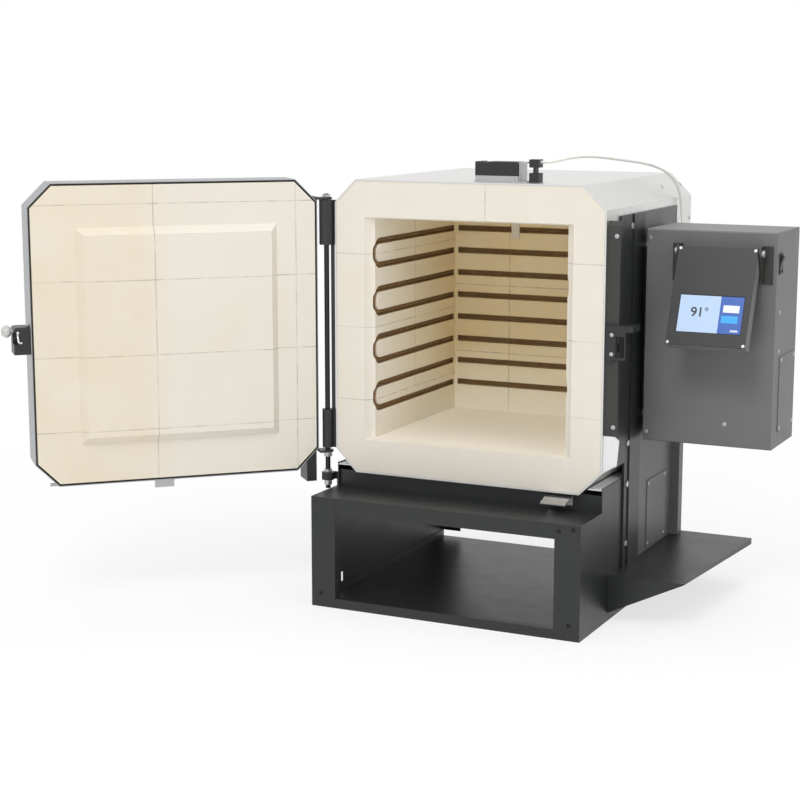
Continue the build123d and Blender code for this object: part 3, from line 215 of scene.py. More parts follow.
def new_material(name, colour, metallic, roughness):
    """A material with its shader's base values; gives it, its shader, its coordinates and add_node."""
    mat = bpy.data.materials.new(name)
    mat.use_nodes = True
    shader = mat.node_tree.nodes["Principled BSDF"]
    feed(shader, {"Base Color": colour, "Metallic": metallic, "Roughness": roughness})
    add = partial(add_node, mat.node_tree)
    return mat, shader, add("TexCoord", out="Object"), add


def stripe(add, value, middle, width_mm):
    """1 within a thin line about a coordinate, with soft edges."""
    away = add("Math", (value, middle), operation="SUBTRACT")
    away = add("Math", (away,), operation="ABSOLUTE")
    return add("MapRange", (away, width_mm * MM * 0.5, width_mm * MM * 0.9, 1.0, 0.0))


def coat(name, colour, rough):
    """Powder coat: cured polyester, satin, with a fine orange peel and slight cloudiness."""
    mat, shader, place, add = new_material(name, colour, 0.0, rough)
    # Clouds a hand wide keep broad panels from looking flat
    cloud = add("TexNoise", {"Vector": place, "Scale": 1000 / 60, "Detail": 2, "Roughness": 0.55})
    cloud = add("MapRange", (cloud, 0.3, 0.7, 0.0, 0.08))
    tone = add("Mix", {0: cloud, 6: colour, 7: tint(colour, 1.35, 0.006)}, 2, data_type="RGBA")
    # Pale flecks of dust, drawn coarser than real so that they show
    speck = add("TexNoise", {"Vector": place, "Scale": 1000 / 0.7, "Detail": 1, "Roughness": 0.55})
    speck = add("MapRange", (speck, 0.64, 0.74, 0, 0.06))
    tone = add("Mix", {0: speck, 6: tone, 7: srgb("#8a8a88")}, 2, data_type="RGBA")
    sheen = add("TexNoise", {"Vector": place, "Scale": 1000 / 40, "Detail": 3, "Roughness": 0.55})
    sheen = add("MapRange", (sheen, 0.3, 0.7, rough - 0.02, rough + 0.03))
    # Orange peel, as shallow as a sprayed coat's
    peel = add("TexNoise", {"Vector": place, "Scale": 1000 / 1.6, "Detail": 1, "Roughness": 0.55})
    peel = add("Bump", {"Strength": 0.25, "Distance": 0.008 * MM, "Height": peel})
    feed(shader, {"Base Color": tone, "Roughness": sheen, "Normal": peel})
    return mat


def brushed(name, colour, rough=0.34, grain=(400, 12, 12), metallic=1.0):
    """Brushed steel: fine scratches that run one way, under faint wide smears."""
    mat, shader, place, add = new_material(name, colour, metallic, rough)
    # The scratches are a few times wider than real, because real ones would blur to grey
    run = add("Mapping", {"Vector": place, "Scale": grain})
    lines = add("TexNoise", {"Vector": run, "Scale": 9.0, "Detail": 4.0})
    smear = add("TexNoise", {"Vector": place, "Scale": 1000 / 90, "Detail": 2, "Roughness": 0.55})
    scratch = add("MapRange", (lines, 0.3, 0.7, 0, 0.22))
    smear = add("MapRange", (smear, 0.4, 0.7, 0, 0.12))
    tone = add("Mix", {0: scratch, 6: colour, 7: tint(colour, 0.72)}, 2, data_type="RGBA")
    tone = add("Mix", {0: smear, 6: tone, 7: tint(colour, 0.8)}, 2, data_type="RGBA")
    feed(shader, {"Base Color": tone,
                  "Roughness": add("MapRange", (lines, 0.25, 0.75, rough - 0.06, rough + 0.12)),
                  "Normal": add("Bump", {"Strength": 0.25, "Distance": 0.03 * MM, "Height": lines})})
    return mat


def moulded(name, colour, rough=0.5, grain_mm=0.8):
    """Moulded plastic: an even colour with a fine spark-eroded texture."""
    mat, shader, place, add = new_material(name, colour, 0.0, rough)
    cloud = add("TexNoise", {"Vector": place, "Scale": 1000 / 25, "Detail": 3, "Roughness": 0.55})
    cloud = add("MapRange", (cloud, 0.35, 0.65, 0, 0.12))
    tone = add("Mix", {0: cloud, 6: colour, 7: tint(colour, 1.25, 0.004)}, 2, data_type="RGBA")
    grain = add("TexNoise", {"Vector": place, "Scale": 1000 / grain_mm, "Detail": 1, "Roughness": 0.55})
    grain = add("Bump", {"Strength": 0.4, "Distance": 0.04 * MM, "Height": grain})
    feed(shader, {"Base Color": tone, "Normal": grain})
    return mat


def glazed(name, colour):
    """Glazed porcelain: smooth, glossy and slightly mottled."""
    mat, shader, place, add = new_material(name, colour, 0.0, 0.25)
    mottle = add("TexNoise", {"Vector": place, "Scale": 1000 / 4, "Detail": 3, "Roughness": 0.55})
    mottle = add("MapRange", (mottle, 0.4, 0.7, 0, 0.2))
    feed(shader, {"Base Color": add("Mix", {0: mottle, 6: colour, 7: srgb("#cfc6b4")}, 2,
                                    data_type="RGBA")})
    return mat


def fibre(name, colour):
    """Pressed ceramic fibre: matt, with short tangled threads drawn coarser than real."""
    mat, shader, place, add = new_material(name, colour, 0.0, 0.95)
    threads = add("TexNoise", {"Vector": place, "Scale": 1000 / 0.9, "Detail": 5, "Roughness": 0.7})
    shade = add("MapRange", (threads, 0.3, 0.7, 0, 0.4))
    feed(shader, {"Base Color": add("Mix", {0: shade, 6: colour, 7: tint(colour, 0.6)}, 2,
                                    data_type="RGBA"),
                  "Normal": add("Bump", {"Strength": 0.6, "Distance": 0.3 * MM, "Height": threads})})
    return mat


def lit(name, colour, strength=0.55):
    """A backlit patch of the screen: its own even light under clear glass."""
    mat, shader, place, add = new_material(name, colour, 0.0, 0.18)
    uneven = add("TexNoise", {"Vector": place, "Scale": 1000 / 30, "Detail": 1, "Roughness": 0.55})
    uneven = add("MapRange", (uneven, 0.3, 0.7, 0.0, 0.1))
    glow = add("Mix", {0: uneven, 6: colour, 7: tint(colour, 0.9)}, 2, data_type="RGBA")
    base = add("Mix", {0: 0.5, 6: glow, 7: srgb("#000000")}, 2, data_type="RGBA")
    feed(shader, {"Base Color": base, "Emission Color": glow, "Emission Strength": strength, "IOR": 1.52})
    return mat


def oxidised(name, colour):
    """Element wire: rough brown scale in patches, with little metal left to shine."""
    mat, shader, place, add = new_material(name, colour, 0.2, 0.7)
    scale = add("TexNoise", {"Vector": place, "Scale": 1000 / 3, "Detail": 3, "Roughness": 0.55})
    patch = add("MapRange", (scale, 0.35, 0.65))
    feed(shader, {"Base Color": add("Mix", {0: patch, 6: colour, 7: srgb("#86663f")}, 2,
                                    data_type="RGBA"),
                  "Normal": add("Bump", {"Strength": 0.4, "Distance": 0.1 * MM, "Height": scale})})
    return mat


def brick_body(name, colours):
    """Insulating firebrick: pale, porous and sawn, with specks, pits and a warm bloom."""
    mat, shader, place, add = new_material(name, list(colours.brick), 0.0, 0.95)
    feed(shader, {"Specular IOR Level": 0.2})
    bloom = add("TexNoise", {"Vector": place, "Scale": 1000 / 130, "Detail": 3, "Roughness": 0.55})
    bloom = add("MapRange", (bloom, 0.35, 0.7, 0.0, 0.45))
    tone = add("Mix", {0: bloom, 6: list(colours.brick), 7: srgb("#e4dccb")}, 2, data_type="RGBA")
    # Open pores, two or three times their real width, in clusters
    pores = add("TexVoronoi", {"Vector": place, "Scale": 1000 / 3.2, "Randomness": 1.0}, "Distance")
    pit = add("MapRange", (pores, 0.08, 0.3, 1.0, 0.0))
    cluster = add("TexNoise", {"Vector": place, "Scale": 1000 / 7, "Detail": 3, "Roughness": 0.55})
    pit = add("Math", (pit, add("MapRange", (cluster, 0.5, 0.68))), operation="MULTIPLY")
    shade = add("Math", (pit, 0.22), operation="MULTIPLY")
    tone = add("Mix", {0: shade, 6: tone, 7: srgb("#a89878")}, 2, data_type="RGBA")
    grain = add("TexNoise", {"Vector": place, "Scale": 1000 / 1.4, "Detail": 2, "Roughness": 0.55})
    shade = add("MapRange", (grain, 0.35, 0.7, 0, 0.10))
    tone = add("Mix", {0: shade, 6: tone, 7: srgb("#cfc2a6")}, 2, data_type="RGBA")
    return mat, shader, place, add, tone, pit, grain


def finish_brick(shader, place, add, tone, pit, grain, seams):
    """Darken the joints between bricks, unevenly, and cut them into the surface."""
    joint = seams[0]
    for line in seams[1:]:
        joint = add("Math", (joint, line), operation="MAXIMUM")
    worn = add("TexNoise", {"Vector": place, "Scale": 1000 / 22, "Detail": 3, "Roughness": 0.55})
    worn = add("MapRange", (worn, 0.4, 0.62, 0.15, 0.55))
    shade = add("Math", (joint, worn), operation="MULTIPLY")
    tone = add("Mix", {0: shade, 6: tone, 7: srgb("#8f887b")}, 2, data_type="RGBA")
    rise = add("Math", (grain, 0.3), operation="MULTIPLY")
    cut = add("Math", (pit, joint), operation="MAXIMUM")
    height = add("Math", (rise, cut), operation="SUBTRACT")
    relief = add("Bump", {"Strength": 0.35, "Distance": 0.5 * MM, "Height": height})
    feed(shader, {"Base Color": tone, "Normal": relief})


def lining_brick(colours):
    """Case lining: joints by course, paler inside and near the floor as painted light, browner towards the
    chamber's back, and darker in the grooves as painted shade.
    """
    mat, shader, place, add, tone, pit, grain = brick_body("insulating firebrick lining", colours)
    x, y, z = add("SeparateXYZ", (place,), None)
    across = add("Math", (x,), operation="ABSOLUTE")
    within = add("Math", (across, CHAMBER_X + 12.5 * MM), operation="LESS_THAN")
    # Heat colour grows towards the back and fades in patches; it also fades near the floor, which is
    # painted light on the low walls where light falls in through the opening
    inside = add("MapRange", (y, FACE_Y + 30 * MM, CHAMBER_BACK + 10 * MM, 0.0, 0.74))
    low = add("MapRange", (z, FLOOR, FLOOR + 130 * MM, 0.1, 1.0))
    patchy = add("TexNoise", {"Vector": place, "Scale": 1000 / 80, "Detail": 3, "Roughness": 0.55})
    patchy = add("MapRange", (patchy, 0.3, 0.7, 0.75, 1.1))
    heat = add("Math", (inside, low), operation="MULTIPLY")
    heat = add("Math", (heat, within), operation="MULTIPLY")
    heat = add("Math", (heat, patchy), operation="MULTIPLY")
    # The chamber's walls are made paler than the face: painted light inside the chamber
    painted_chamber_light = add("MapRange", (y, FACE_Y + 2 * MM, FACE_Y + 20 * MM, 0.0, 0.85))
    painted_chamber_light = add("Math", (within, painted_chamber_light), operation="MULTIPLY")
    below = add("Math", (z, CEILING + 12 * MM), operation="LESS_THAN")
    painted_chamber_light = add("Math", (painted_chamber_light, below), operation="MULTIPLY")
    tone = add("Mix", {0: painted_chamber_light, 6: tone, 7: srgb("#faf4e7")}, 2, data_type="RGBA")
    tone = add("Mix", {0: heat, 6: tone, 7: list(colours.brick_warm)}, 2, data_type="RGBA")
    # The grooves that hold the elements are darkened brown: painted shade of the coils in them
    deep = add("Math", (add("MapRange", (across, CHAMBER_X + 0.6 * MM, CHAMBER_X + 4 * MM)),
                        add("MapRange", (y, CHAMBER_BACK + 0.6 * MM, CHAMBER_BACK + 4 * MM))),
               operation="MAXIMUM")
    groove_shade = add("Math", (y, FACE_Y + 13.5 * MM), operation="GREATER_THAN")
    groove_shade = add("Math", (deep, groove_shade), operation="MULTIPLY")
    groove_shade = add("Math", (groove_shade, within), operation="MULTIPLY")
    below = add("Math", (z, CEILING - 4 * MM), operation="LESS_THAN")
    groove_shade = add("Math", (groove_shade, below), operation="MULTIPLY")
    groove_shade = add("Math", (groove_shade, 0.8), operation="MULTIPLY")
    tone = add("Mix", {0: groove_shade, 6: tone, 7: srgb("#b8925f")}, 2, data_type="RGBA")
    sides = add("Math", (across, CHAMBER_X - NEAR), operation="GREATER_THAN")
    in_roof = add("Math", (z, CEILING - 1 * MM), operation="GREATER_THAN")
    in_back = add("Math", (y, CHAMBER_BACK - NEAR), operation="GREATER_THAN")
    upper = add("Math", (z, FIRST_COURSE + COURSE), operation="GREATER_THAN")
    lines = [(z, FIRST_COURSE + COURSE * n, 0.9, sides) for n in (1, 2, 3)]
    lines += [(x, ROOF_SEAM, 0.9, in_roof), (x, BACK_SEAM_X, 1.2, in_back), (y, WALL_SEAM_Y, 1.0, upper)]
    lines += [(z, level, 1.0, in_back) for level in BACK_SEAM_Z]
    seams = [add("Math", (stripe(add, axis, middle, width), where), operation="MULTIPLY")
             for axis, middle, width, where in lines]
    finish_brick(shader, place, add, tone, pit, grain, seams)
    return mat


def door_brick(colours):
    """Door lining: its joints are square to the door, and its free side is warmer."""
    mat, shader, place, add, tone, pit, grain = brick_body("insulating firebrick door", colours)
    s = add("VectorMath", (place, ALONG), 1, operation="DOT_PRODUCT")
    s = add("Math", (s, DOOR_EDGE.dot(ALONG)), operation="SUBTRACT")
    z = add("SeparateXYZ", (place,), 2)
    patchy = add("TexNoise", {"Vector": place, "Scale": 1000 / 70, "Detail": 3, "Roughness": 0.55})
    patchy = add("MapRange", (patchy, 0.3, 0.65, 0.4, 1.0))
    warm = add("MapRange", (s, 230 * MM, 280 * MM, 0.0, 0.42))
    warm = add("Math", (warm, patchy), operation="MULTIPLY")
    tone = add("Mix", {0: warm, 6: tone, 7: srgb("#e3d0ae")}, 2, data_type="RGBA")
    seams = [stripe(add, s, place_s, 1.0) for place_s in DOOR_SEAMS_S]
    seams += [stripe(add, z, level, 1.0) for level in DOOR_SEAMS_Z]
    finish_brick(shader, place, add, tone, pit, grain, seams)
    return mat


def dress(node, material):
    """Give a CAD node a material in all its slots."""
    obj = frame["nodes"][node]
    if not obj.material_slots:
        obj.data.materials.append(material)
    for slot in obj.material_slots:
        slot.material = material


def alone(obj):
    """Select only this object and make it active."""
    bpy.ops.object.select_all(action="DESELECT")
    obj.select_set(True)
    bpy.context.view_layer.objects.active = obj
    return obj


def join(pieces):
    """Join finished pieces into one mesh."""
    alone(pieces[0])
    for piece in pieces:
        piece.select_set(True)
    bpy.ops.object.join()
    return bpy.context.object


def seat(obj, material, placement=None):
    """Put a piece's place in its mesh, and give it one material."""
    if placement is not None:
        obj.matrix_world = placement
    alone(obj)
    bpy.ops.object.transform_apply(location=True, rotation=True, scale=True)
    obj.data.materials.clear()
    obj.data.materials.append(material)
    return obj


def facing(place, outward):
    """A placement with its Z axis along outward, at a place in millimetres."""
    out = Vector(outward).normalized()
    across = Vector((0, 0, 1)).cross(out).normalized()
    turn = Matrix((across, out.cross(across), out)).transposed().to_4x4()
    return Matrix.Translation(Vector(place) * MM) @ turn


def curve(name, kind, points, radius, rounding, steps=12):
    """A round wire along points in metres, as a curve object."""
    data = bpy.data.curves.new(name, "CURVE")
    data.dimensions = "3D"
    spline = data.splines.new(kind)
    spline.points.add(len(points) - 1)
    for point, co in zip(spline.points, points):
        point.co = (*co, 1)
    if kind == "NURBS":
        spline.order_u = 3
        spline.use_endpoint_u = True
        spline.resolution_u = steps
    data.bevel_depth = radius
    data.bevel_resolution = rounding
    data.use_fill_caps = True
    wire = bpy.data.objects.new(name, data)
    bpy.context.scene.collection.objects.link(wire)
    return wire


def to_mesh(obj, material):
    """A curve or text as a mesh of one material."""
    alone(obj)
    bpy.ops.object.convert(target="MESH")
    mesh = bpy.context.object
    mesh.data.materials.clear()
    mesh.data.materials.append(material)
    return mesh


class OVEN_OT_stage(bpy.types.Operator):
    """Camera at the photograph's angle, pale floor and soft light"""
    bl_idname = "oven.stage"
    bl_label = "Stage"

    def execute(self, context):
        camera_data = bpy.data.cameras.new("camera")
        camera_data.lens = CAMERA_LENS
        camera_data.sensor_width = 36
        camera = bpy.data.objects.new("camera", camera_data)
        camera.location = CAMERA_AT
        camera.rotation_euler = CAMERA_TURN
        context.scene.collection.objects.link(camera)
        context.scene.camera = camera
        context.scene.view_settings.view_transform = "Standard"
        self.floor(context)
        self.world(context)
        for name, at, size, power in LAMPS:
            data = bpy.data.lights.new(name, "AREA")
            data.shape = "DISK"
            data.size = size
            data.energy = power
            lamp = bpy.data.objects.new(name, data)
            lamp.location = at
            lamp.visible_glossy = name != "top"  # seen from above, the plated top would mirror it white
            lamp.rotation_euler = (LAMP_AIM - Vector(at)).to_track_quat("-Z", "Y").to_euler()
            context.scene.collection.objects.link(lamp)
        return {"FINISHED"}

    def looked_at(self, add):
        """1 for rays that come from the camera, a mirror or glass, and 0 for light that fills."""
        ray = add("LightPath", out=None)
        seen = add("Math", (ray["Is Camera Ray"], ray["Is Glossy Ray"]), operation="MAXIMUM")
        return add("Math", (seen, ray["Is Transmission Ray"]), operation="MAXIMUM")

    def floor(self, context):
        """A white floor whose far parts melt into the background, with a soft shadow near the oven."""
        bpy.ops.object.select_all(action="DESELECT")
        bpy.ops.mesh.primitive_plane_add(size=14, location=(0, 0, 0))
        floor = context.object
        floor.name = "floor"
        mat, shader, place, add = new_material("studio floor", srgb("#ffffff"), 0, 0.9)
        dust = add("TexNoise", {"Vector": place, "Scale": 1000 / 300, "Detail": 3, "Roughness": 0.55})
        dust = add("MapRange", (dust, 0.3, 0.7, 0, 0.03))
        feed(shader, {"Base Color": add("Mix", {0: dust, 6: srgb("#ffffff"), 7: srgb("#ececec")}, 2,
                                        data_type="RGBA")})
        glow = add("Emission", {"Color": srgb("#ffffff"), "Strength": 1.0})
        far = add("VectorMath", (place,), 1, operation="LENGTH")
        far = add("MapRange", (far, 0.5, 1.6, 0.72, 1.0))
        share = add("Math", (self.looked_at(add), far), operation="MULTIPLY")
        surface = add("MixShader", (share, shader.outputs[0], glow))
        feed(mat.node_tree.nodes["Material Output"], {"Surface": surface})
        floor.data.materials.append(mat)

    def world(self, context):
        """A white surround that fills softly but is seen and mirrored at full strength."""
        world = bpy.data.worlds.new("studio")
        context.scene.world = world
        world.use_nodes = True
        add = partial(add_node, world.node_tree)
        strength = add("MapRange", (self.looked_at(add), 0, 1, 0.32, 1.0))
        feed(world.node_tree.nodes["Background"], {"Color": srgb("#ffffff"), "Strength": strength})


class OVEN_OT_lead(bpy.types.Operator):
    """White lead from the door switch to the control box"""
    bl_idname = "oven.lead"
    bl_label = "Switch Lead"

    def execute(self, context):
        sizes = context.scene.oven_sizes
        points = [[v * MM for v in place] for place in LEAD_ROUTE]
        lead = curve("switch_lead_sleeve", "NURBS", points, sizes.lead / 2, 4, 8)
        colour = list(context.scene.oven_colours.lead)
        # Soft white plastic with a faint sheen
        lead.data.materials.append(moulded("PVC lead sleeve", colour, 0.42, 0.6))
        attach(lead, "case")
        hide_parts("switch_lead")
        return {"FINISHED"}


class OVEN_OT_finishes(bpy.types.Operator):
    """Finishes of all the frame's pieces"""
    bl_idname = "oven.finishes"
    bl_label = "Finishes"

    def execute(self, context):
        colours = context.scene.oven_colours
        # Each row: the material, what it gives the eye, and the nodes that wear it
        plan = (
            # Near-black satin skin of the stand and ironmongery
            (coat("black polyester powder coat", list(colours.black), 0.38),
             "stand_front stand_left_side stand_right_side stand_deck stand_floor side_shelf side_rail "
             "hinge_blocks door_strap door_foot latch_body catch_body catch_plate"),
            # Mid grey, duller skin of the control box and the panels beside it
            (coat("grey polyester powder coat", list(colours.grey), 0.5),
             "control_box control_box_back side_panel terminal_cover access_plate display_housing"),
            # Warm dark grey that sets the shield off from the black; on the brackets, which are grey like
            # the box, the dark grey is painted shade of the display
            (coat("dark grey coat with painted bracket shade", srgb("#30312e"), 0.5), "heat_shield display_brackets"),
            # Bright sheet that mirrors the surround in streaks
            (brushed("brushed stainless jacket", list(colours.jacket)),
             "jacket_front jacket_rear rear_cover"),
            # Darker brushed sheet, its grain upright
            (brushed("brushed stainless door pan", srgb("#a9abad"), 0.38, (12, 12, 400)), "door_pan"),
            # Clean metal that catches a sharp glint
            (brushed("bright rolled steel", srgb("#c6c7c8"), 0.22, (20, 300, 20)), "door_ramp"),
            # Pale plated metal with an even grain, for small fittings
            (brushed("zinc plated steel", srgb("#b7b8ba"), 0.3, (60, 60, 60)),
             "case_screws rail_bolts display_screws hinge_collars box_spacers element_terminals "
             "transformer door_fittings switch_base"),
            # Dark rod with a long glossy highlight
            (brushed("blued steel rod", srgb("#3a3a3c"), 0.3, (30, 30, 300)), "hinge_rod"),
            # Porous cream brick, golden towards the chamber's back
            (lining_brick(colours), "left_wall_bricks right_wall_bricks roof_bricks floor_bricks "
                                    "back_bricks"),
            # The same brick with the door's own joints and warm side
            (door_brick(colours), "door_bricks"),
            # Chalky fibrous white
            (fibre("ceramic fibre board", srgb("#e9e5da")), "rear_insulation"),
            # Fibre packing around the door's bricks, dark as a painted shadow of the gap between the pan
            # and the bricks
            (fibre("fibre packing with painted gap shadow", srgb("#4a453d")), "door_gasket"),
            # Glossy cream ceramic
            (glazed("glazed porcelain", srgb("#e8e2d4")), "element_bushes thermocouple"),
            # Black plastic with a fine matt grain
            (moulded("black ABS", srgb("#1b1c1e"), 0.45),
             "door_switch rocker_bezel power_rocker relays power_gland"),
            # Deeper black, smoother face around the screen
            (moulded("matt black polycarbonate", srgb("#111213"), 0.42, 0.5), "display_face"),
            # Pale smooth plastic
            (moulded("light grey acetal", srgb("#d2d3d2"), 0.35), "latch_slide"),
            # Near-white plate that hardly mirrors; on the corner strips its white is painted light,
            # standing for the bright surround seen through the gap there
            (brushed("white galvanised plate and painted gap light", srgb("#eceded"), 0.5, (30, 30, 30), 0.15),
             "foot_plate corner_strips"),
            # Green board, seen only with the display open
            (moulded("green epoxy board", srgb("#2f6544"), 0.4), "display_board"),
            # Almost black glass at the screen's rim
            (moulded("dark display glass", srgb("#15171c"), 0.12, 20), "screen"),
        )
        for material, nodes in plan:
            for node in nodes.split():
                dress(node, material)
        dressed = {node for _, nodes in plan for node in nodes.split()}
        missing = set(frame["nodes"]) - dressed - {"upper_element", "lower_element", "switch_lead"}
        if missing:
            raise RuntimeError(f"nodes without a finish: {sorted(missing)}")
        return {"FINISHED"}


class OVEN_OT_elements(bpy.types.Operator):
    """Coils of resistance wire in the grooves of the lining"""
    bl_idname = "oven.elements"
    bl_label = "Heating Elements"

    def execute(self, context):
        sizes = context.scene.oven_sizes
        scale = oxidised("oxidised iron chrome wire", list(context.scene.oven_colours.wire))
        side = CHAMBER_X + ELEMENT_DEPTH
        back = CHAMBER_BACK + ELEMENT_DEPTH
        front = FACE_Y + ELEMENT_FRONT
        for name, node, first in (("upper_coil", "upper_element", 0), ("lower_coil", "lower_element", 4)):
            z = [FIRST_ROW - ROW_PITCH * (first + n) for n in range(4)]
            tail_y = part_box(node)[1][1]
            path = [(TAIL_X, tail_y, z[0]), (TAIL_X, back, z[0]), (-side, back, z[0]),
                    (-side, front, z[0]), (-side, front, z[1]), (-side, back, z[1]), (side, back, z[1]),
                    (side, front, z[1]), (side, front, z[2]), (side, back, z[2]), (-side, back, z[2]),
                    (-side, front, z[2]), (-side, front, z[3]), (-side, back, z[3]),
                    (TAIL_X, back, z[3]), (TAIL_X, tail_y, z[3])]
            points = self.wind([Vector(p) for p in path], sizes)
            coil = to_mesh(curve(name, "POLY", points, sizes.wire / 2, 0), scale)
            coil.name = coil.data.name = name
            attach(coil, "case")
            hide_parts(node)
        return {"FINISHED"}

    def wind(self, corners, sizes):
        """Points of a helix about a path with rounded corners."""
        centre = [corners[0]]
        for before, corner, after, bend in zip(corners, corners[1:], corners[2:], BENDS):
            into, out = (corner - before).normalized(), (after - corner).normalized()
            middle = corner - into * bend + out * bend
            for n in range(BEND_STEPS + 1):
                angle = pi / 2 * n / BEND_STEPS
                centre.append(middle + (into * sin(angle) - out * cos(angle)) * bend)
        centre.append(corners[-1])
        radius = (sizes.coil - sizes.wire) / 2
        points, turn, at = [], 0.0, 0.0
        normal = Vector((0, 0, 1))
        for a, b in zip(centre, centre[1:]):
            ahead = b - a
            length = ahead.length
            ahead.normalize()
            normal = (normal - ahead * normal.dot(ahead)).normalized()
            side = ahead.cross(normal)
            while at < length:
                points.append(a + ahead * at + (normal * cos(turn) + side * sin(turn)) * radius)
                turn += 2 * pi / TURN_STEPS
                at += sizes.coil_pitch / TURN_STEPS
            at -= length
        return points


def on_display(u, v, out_mm):
    """A point on the tilted display: u right, v up, out from its face."""
    return PIVOT + Vector((1, 0, 0)) * u + DISPLAY_UP * v + DISPLAY_OUT * (DISPLAY_FACE + out_mm) * MM


def display_turn():
    """Rotation that lays a flat piece on the display's face."""
    return Matrix((Vector((1, 0, 0)), DISPLAY_UP, DISPLAY_OUT)).transposed().to_euler()


class OVEN_OT_screen(bpy.types.Operator):
    """Lit areas, digits and buttons of the touch screen"""
    bl_idname = "oven.screen"
    bl_label = "Screen"

    def execute(self, context):
        rim = 1 * MM
        left, right = SCREEN_MID_U - SCREEN_W / 2 + rim, SCREEN_MID_U + SCREEN_W / 2 - rim
        low, high = SCREEN_MID_V - SCREEN_H / 2 + rim, SCREEN_MID_V + SCREEN_H / 2 - rim
        divide = left + (right - left) * 0.64
        wide = right - divide
        # The patches glow evenly: two grounds, and the buttons and mark a hair above them
        self.patch("screen_pale", left, divide, low, high, -0.45,
                   lit("pale backlight", list(context.scene.oven_colours.screen)))
        self.patch("screen_blue", divide, right, low, high, -0.45,
                   lit("blue backlight", srgb("#3f66b4"), 0.6))
        self.patch("screen_button_white", divide + wide * 0.14, right - wide * 0.16, low + 32 * MM,
                   low + 43 * MM, -0.35, lit("white backlight", srgb("#e8eef6"), 0.6))
        self.patch("screen_button_cyan", divide + wide * 0.10, right - wide * 0.18, low + 16 * MM,
                   low + 27 * MM, -0.35, lit("cyan backlight", srgb("#3fa4e8"), 0.65))
        self.patch("screen_mark", divide + wide * 0.55, right - wide * 0.12, low + 3 * MM,
                   low + 6 * MM, -0.35, lit("mark backlight", srgb("#d8e2f2"), 0.5))
        # Dark slate figures that read at a glance
        self.digits((left + divide) / 2, moulded("dark screen ink", srgb("#2c3440"), 0.3))
        return {"FINISHED"}

    def digits(self, middle, ink):
        """A plain number with a degree ring."""
        bpy.ops.object.select_all(action="DESELECT")
        bpy.ops.object.text_add()
        number = bpy.context.object
        number.data.body = "91"
        number.data.size = 20 * MM
        number.data.align_x = "CENTER"
        number.data.align_y = "CENTER"
        number.data.extrude = 0.1 * MM
        number.data.offset = 0.35 * MM
        number.location = on_display(middle - 3 * MM, SCREEN_MID_V + 2 * MM, -0.2)
        number.rotation_euler = display_turn()
        number = to_mesh(number, ink)
        bpy.ops.object.select_all(action="DESELECT")
        bpy.ops.mesh.primitive_torus_add(major_radius=2.0 * MM, minor_radius=0.6 * MM,
                                         major_segments=24, minor_segments=6)
        degree = bpy.context.object
        degree.scale = (1, 1, 0.3)
        degree.location = on_display(middle + 11 * MM, SCREEN_MID_V + 7.5 * MM, -0.1)
        degree.rotation_euler = display_turn()
        digits = seat(join([number, degree]), ink)
        digits.name = digits.data.name = "screen_digits"
        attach(digits, "display")

    def patch(self, name, u0, u1, v0, v1, out_mm, material):
        """A thin lit plate with eased corners on the display's face."""
        bpy.ops.object.select_all(action="DESELECT")
        bpy.ops.mesh.primitive_cube_add(size=1)
        plate = bpy.context.object
        plate.scale = (u1 - u0, v1 - v0, 0.2 * MM)
        bpy.ops.object.transform_apply(location=False, rotation=False, scale=True)
        ease = plate.modifiers.new("ease", "BEVEL")
        ease.width = 0.06 * MM
        ease.segments = 2
        bpy.ops.object.modifier_apply(modifier="ease")
        plate.location = on_display((u0 + u1) / 2, (v0 + v1) / 2, out_mm)
        plate.rotation_euler = display_turn()
        seat(plate, material)
        plate.name = plate.data.name = name
        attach(plate, "display")


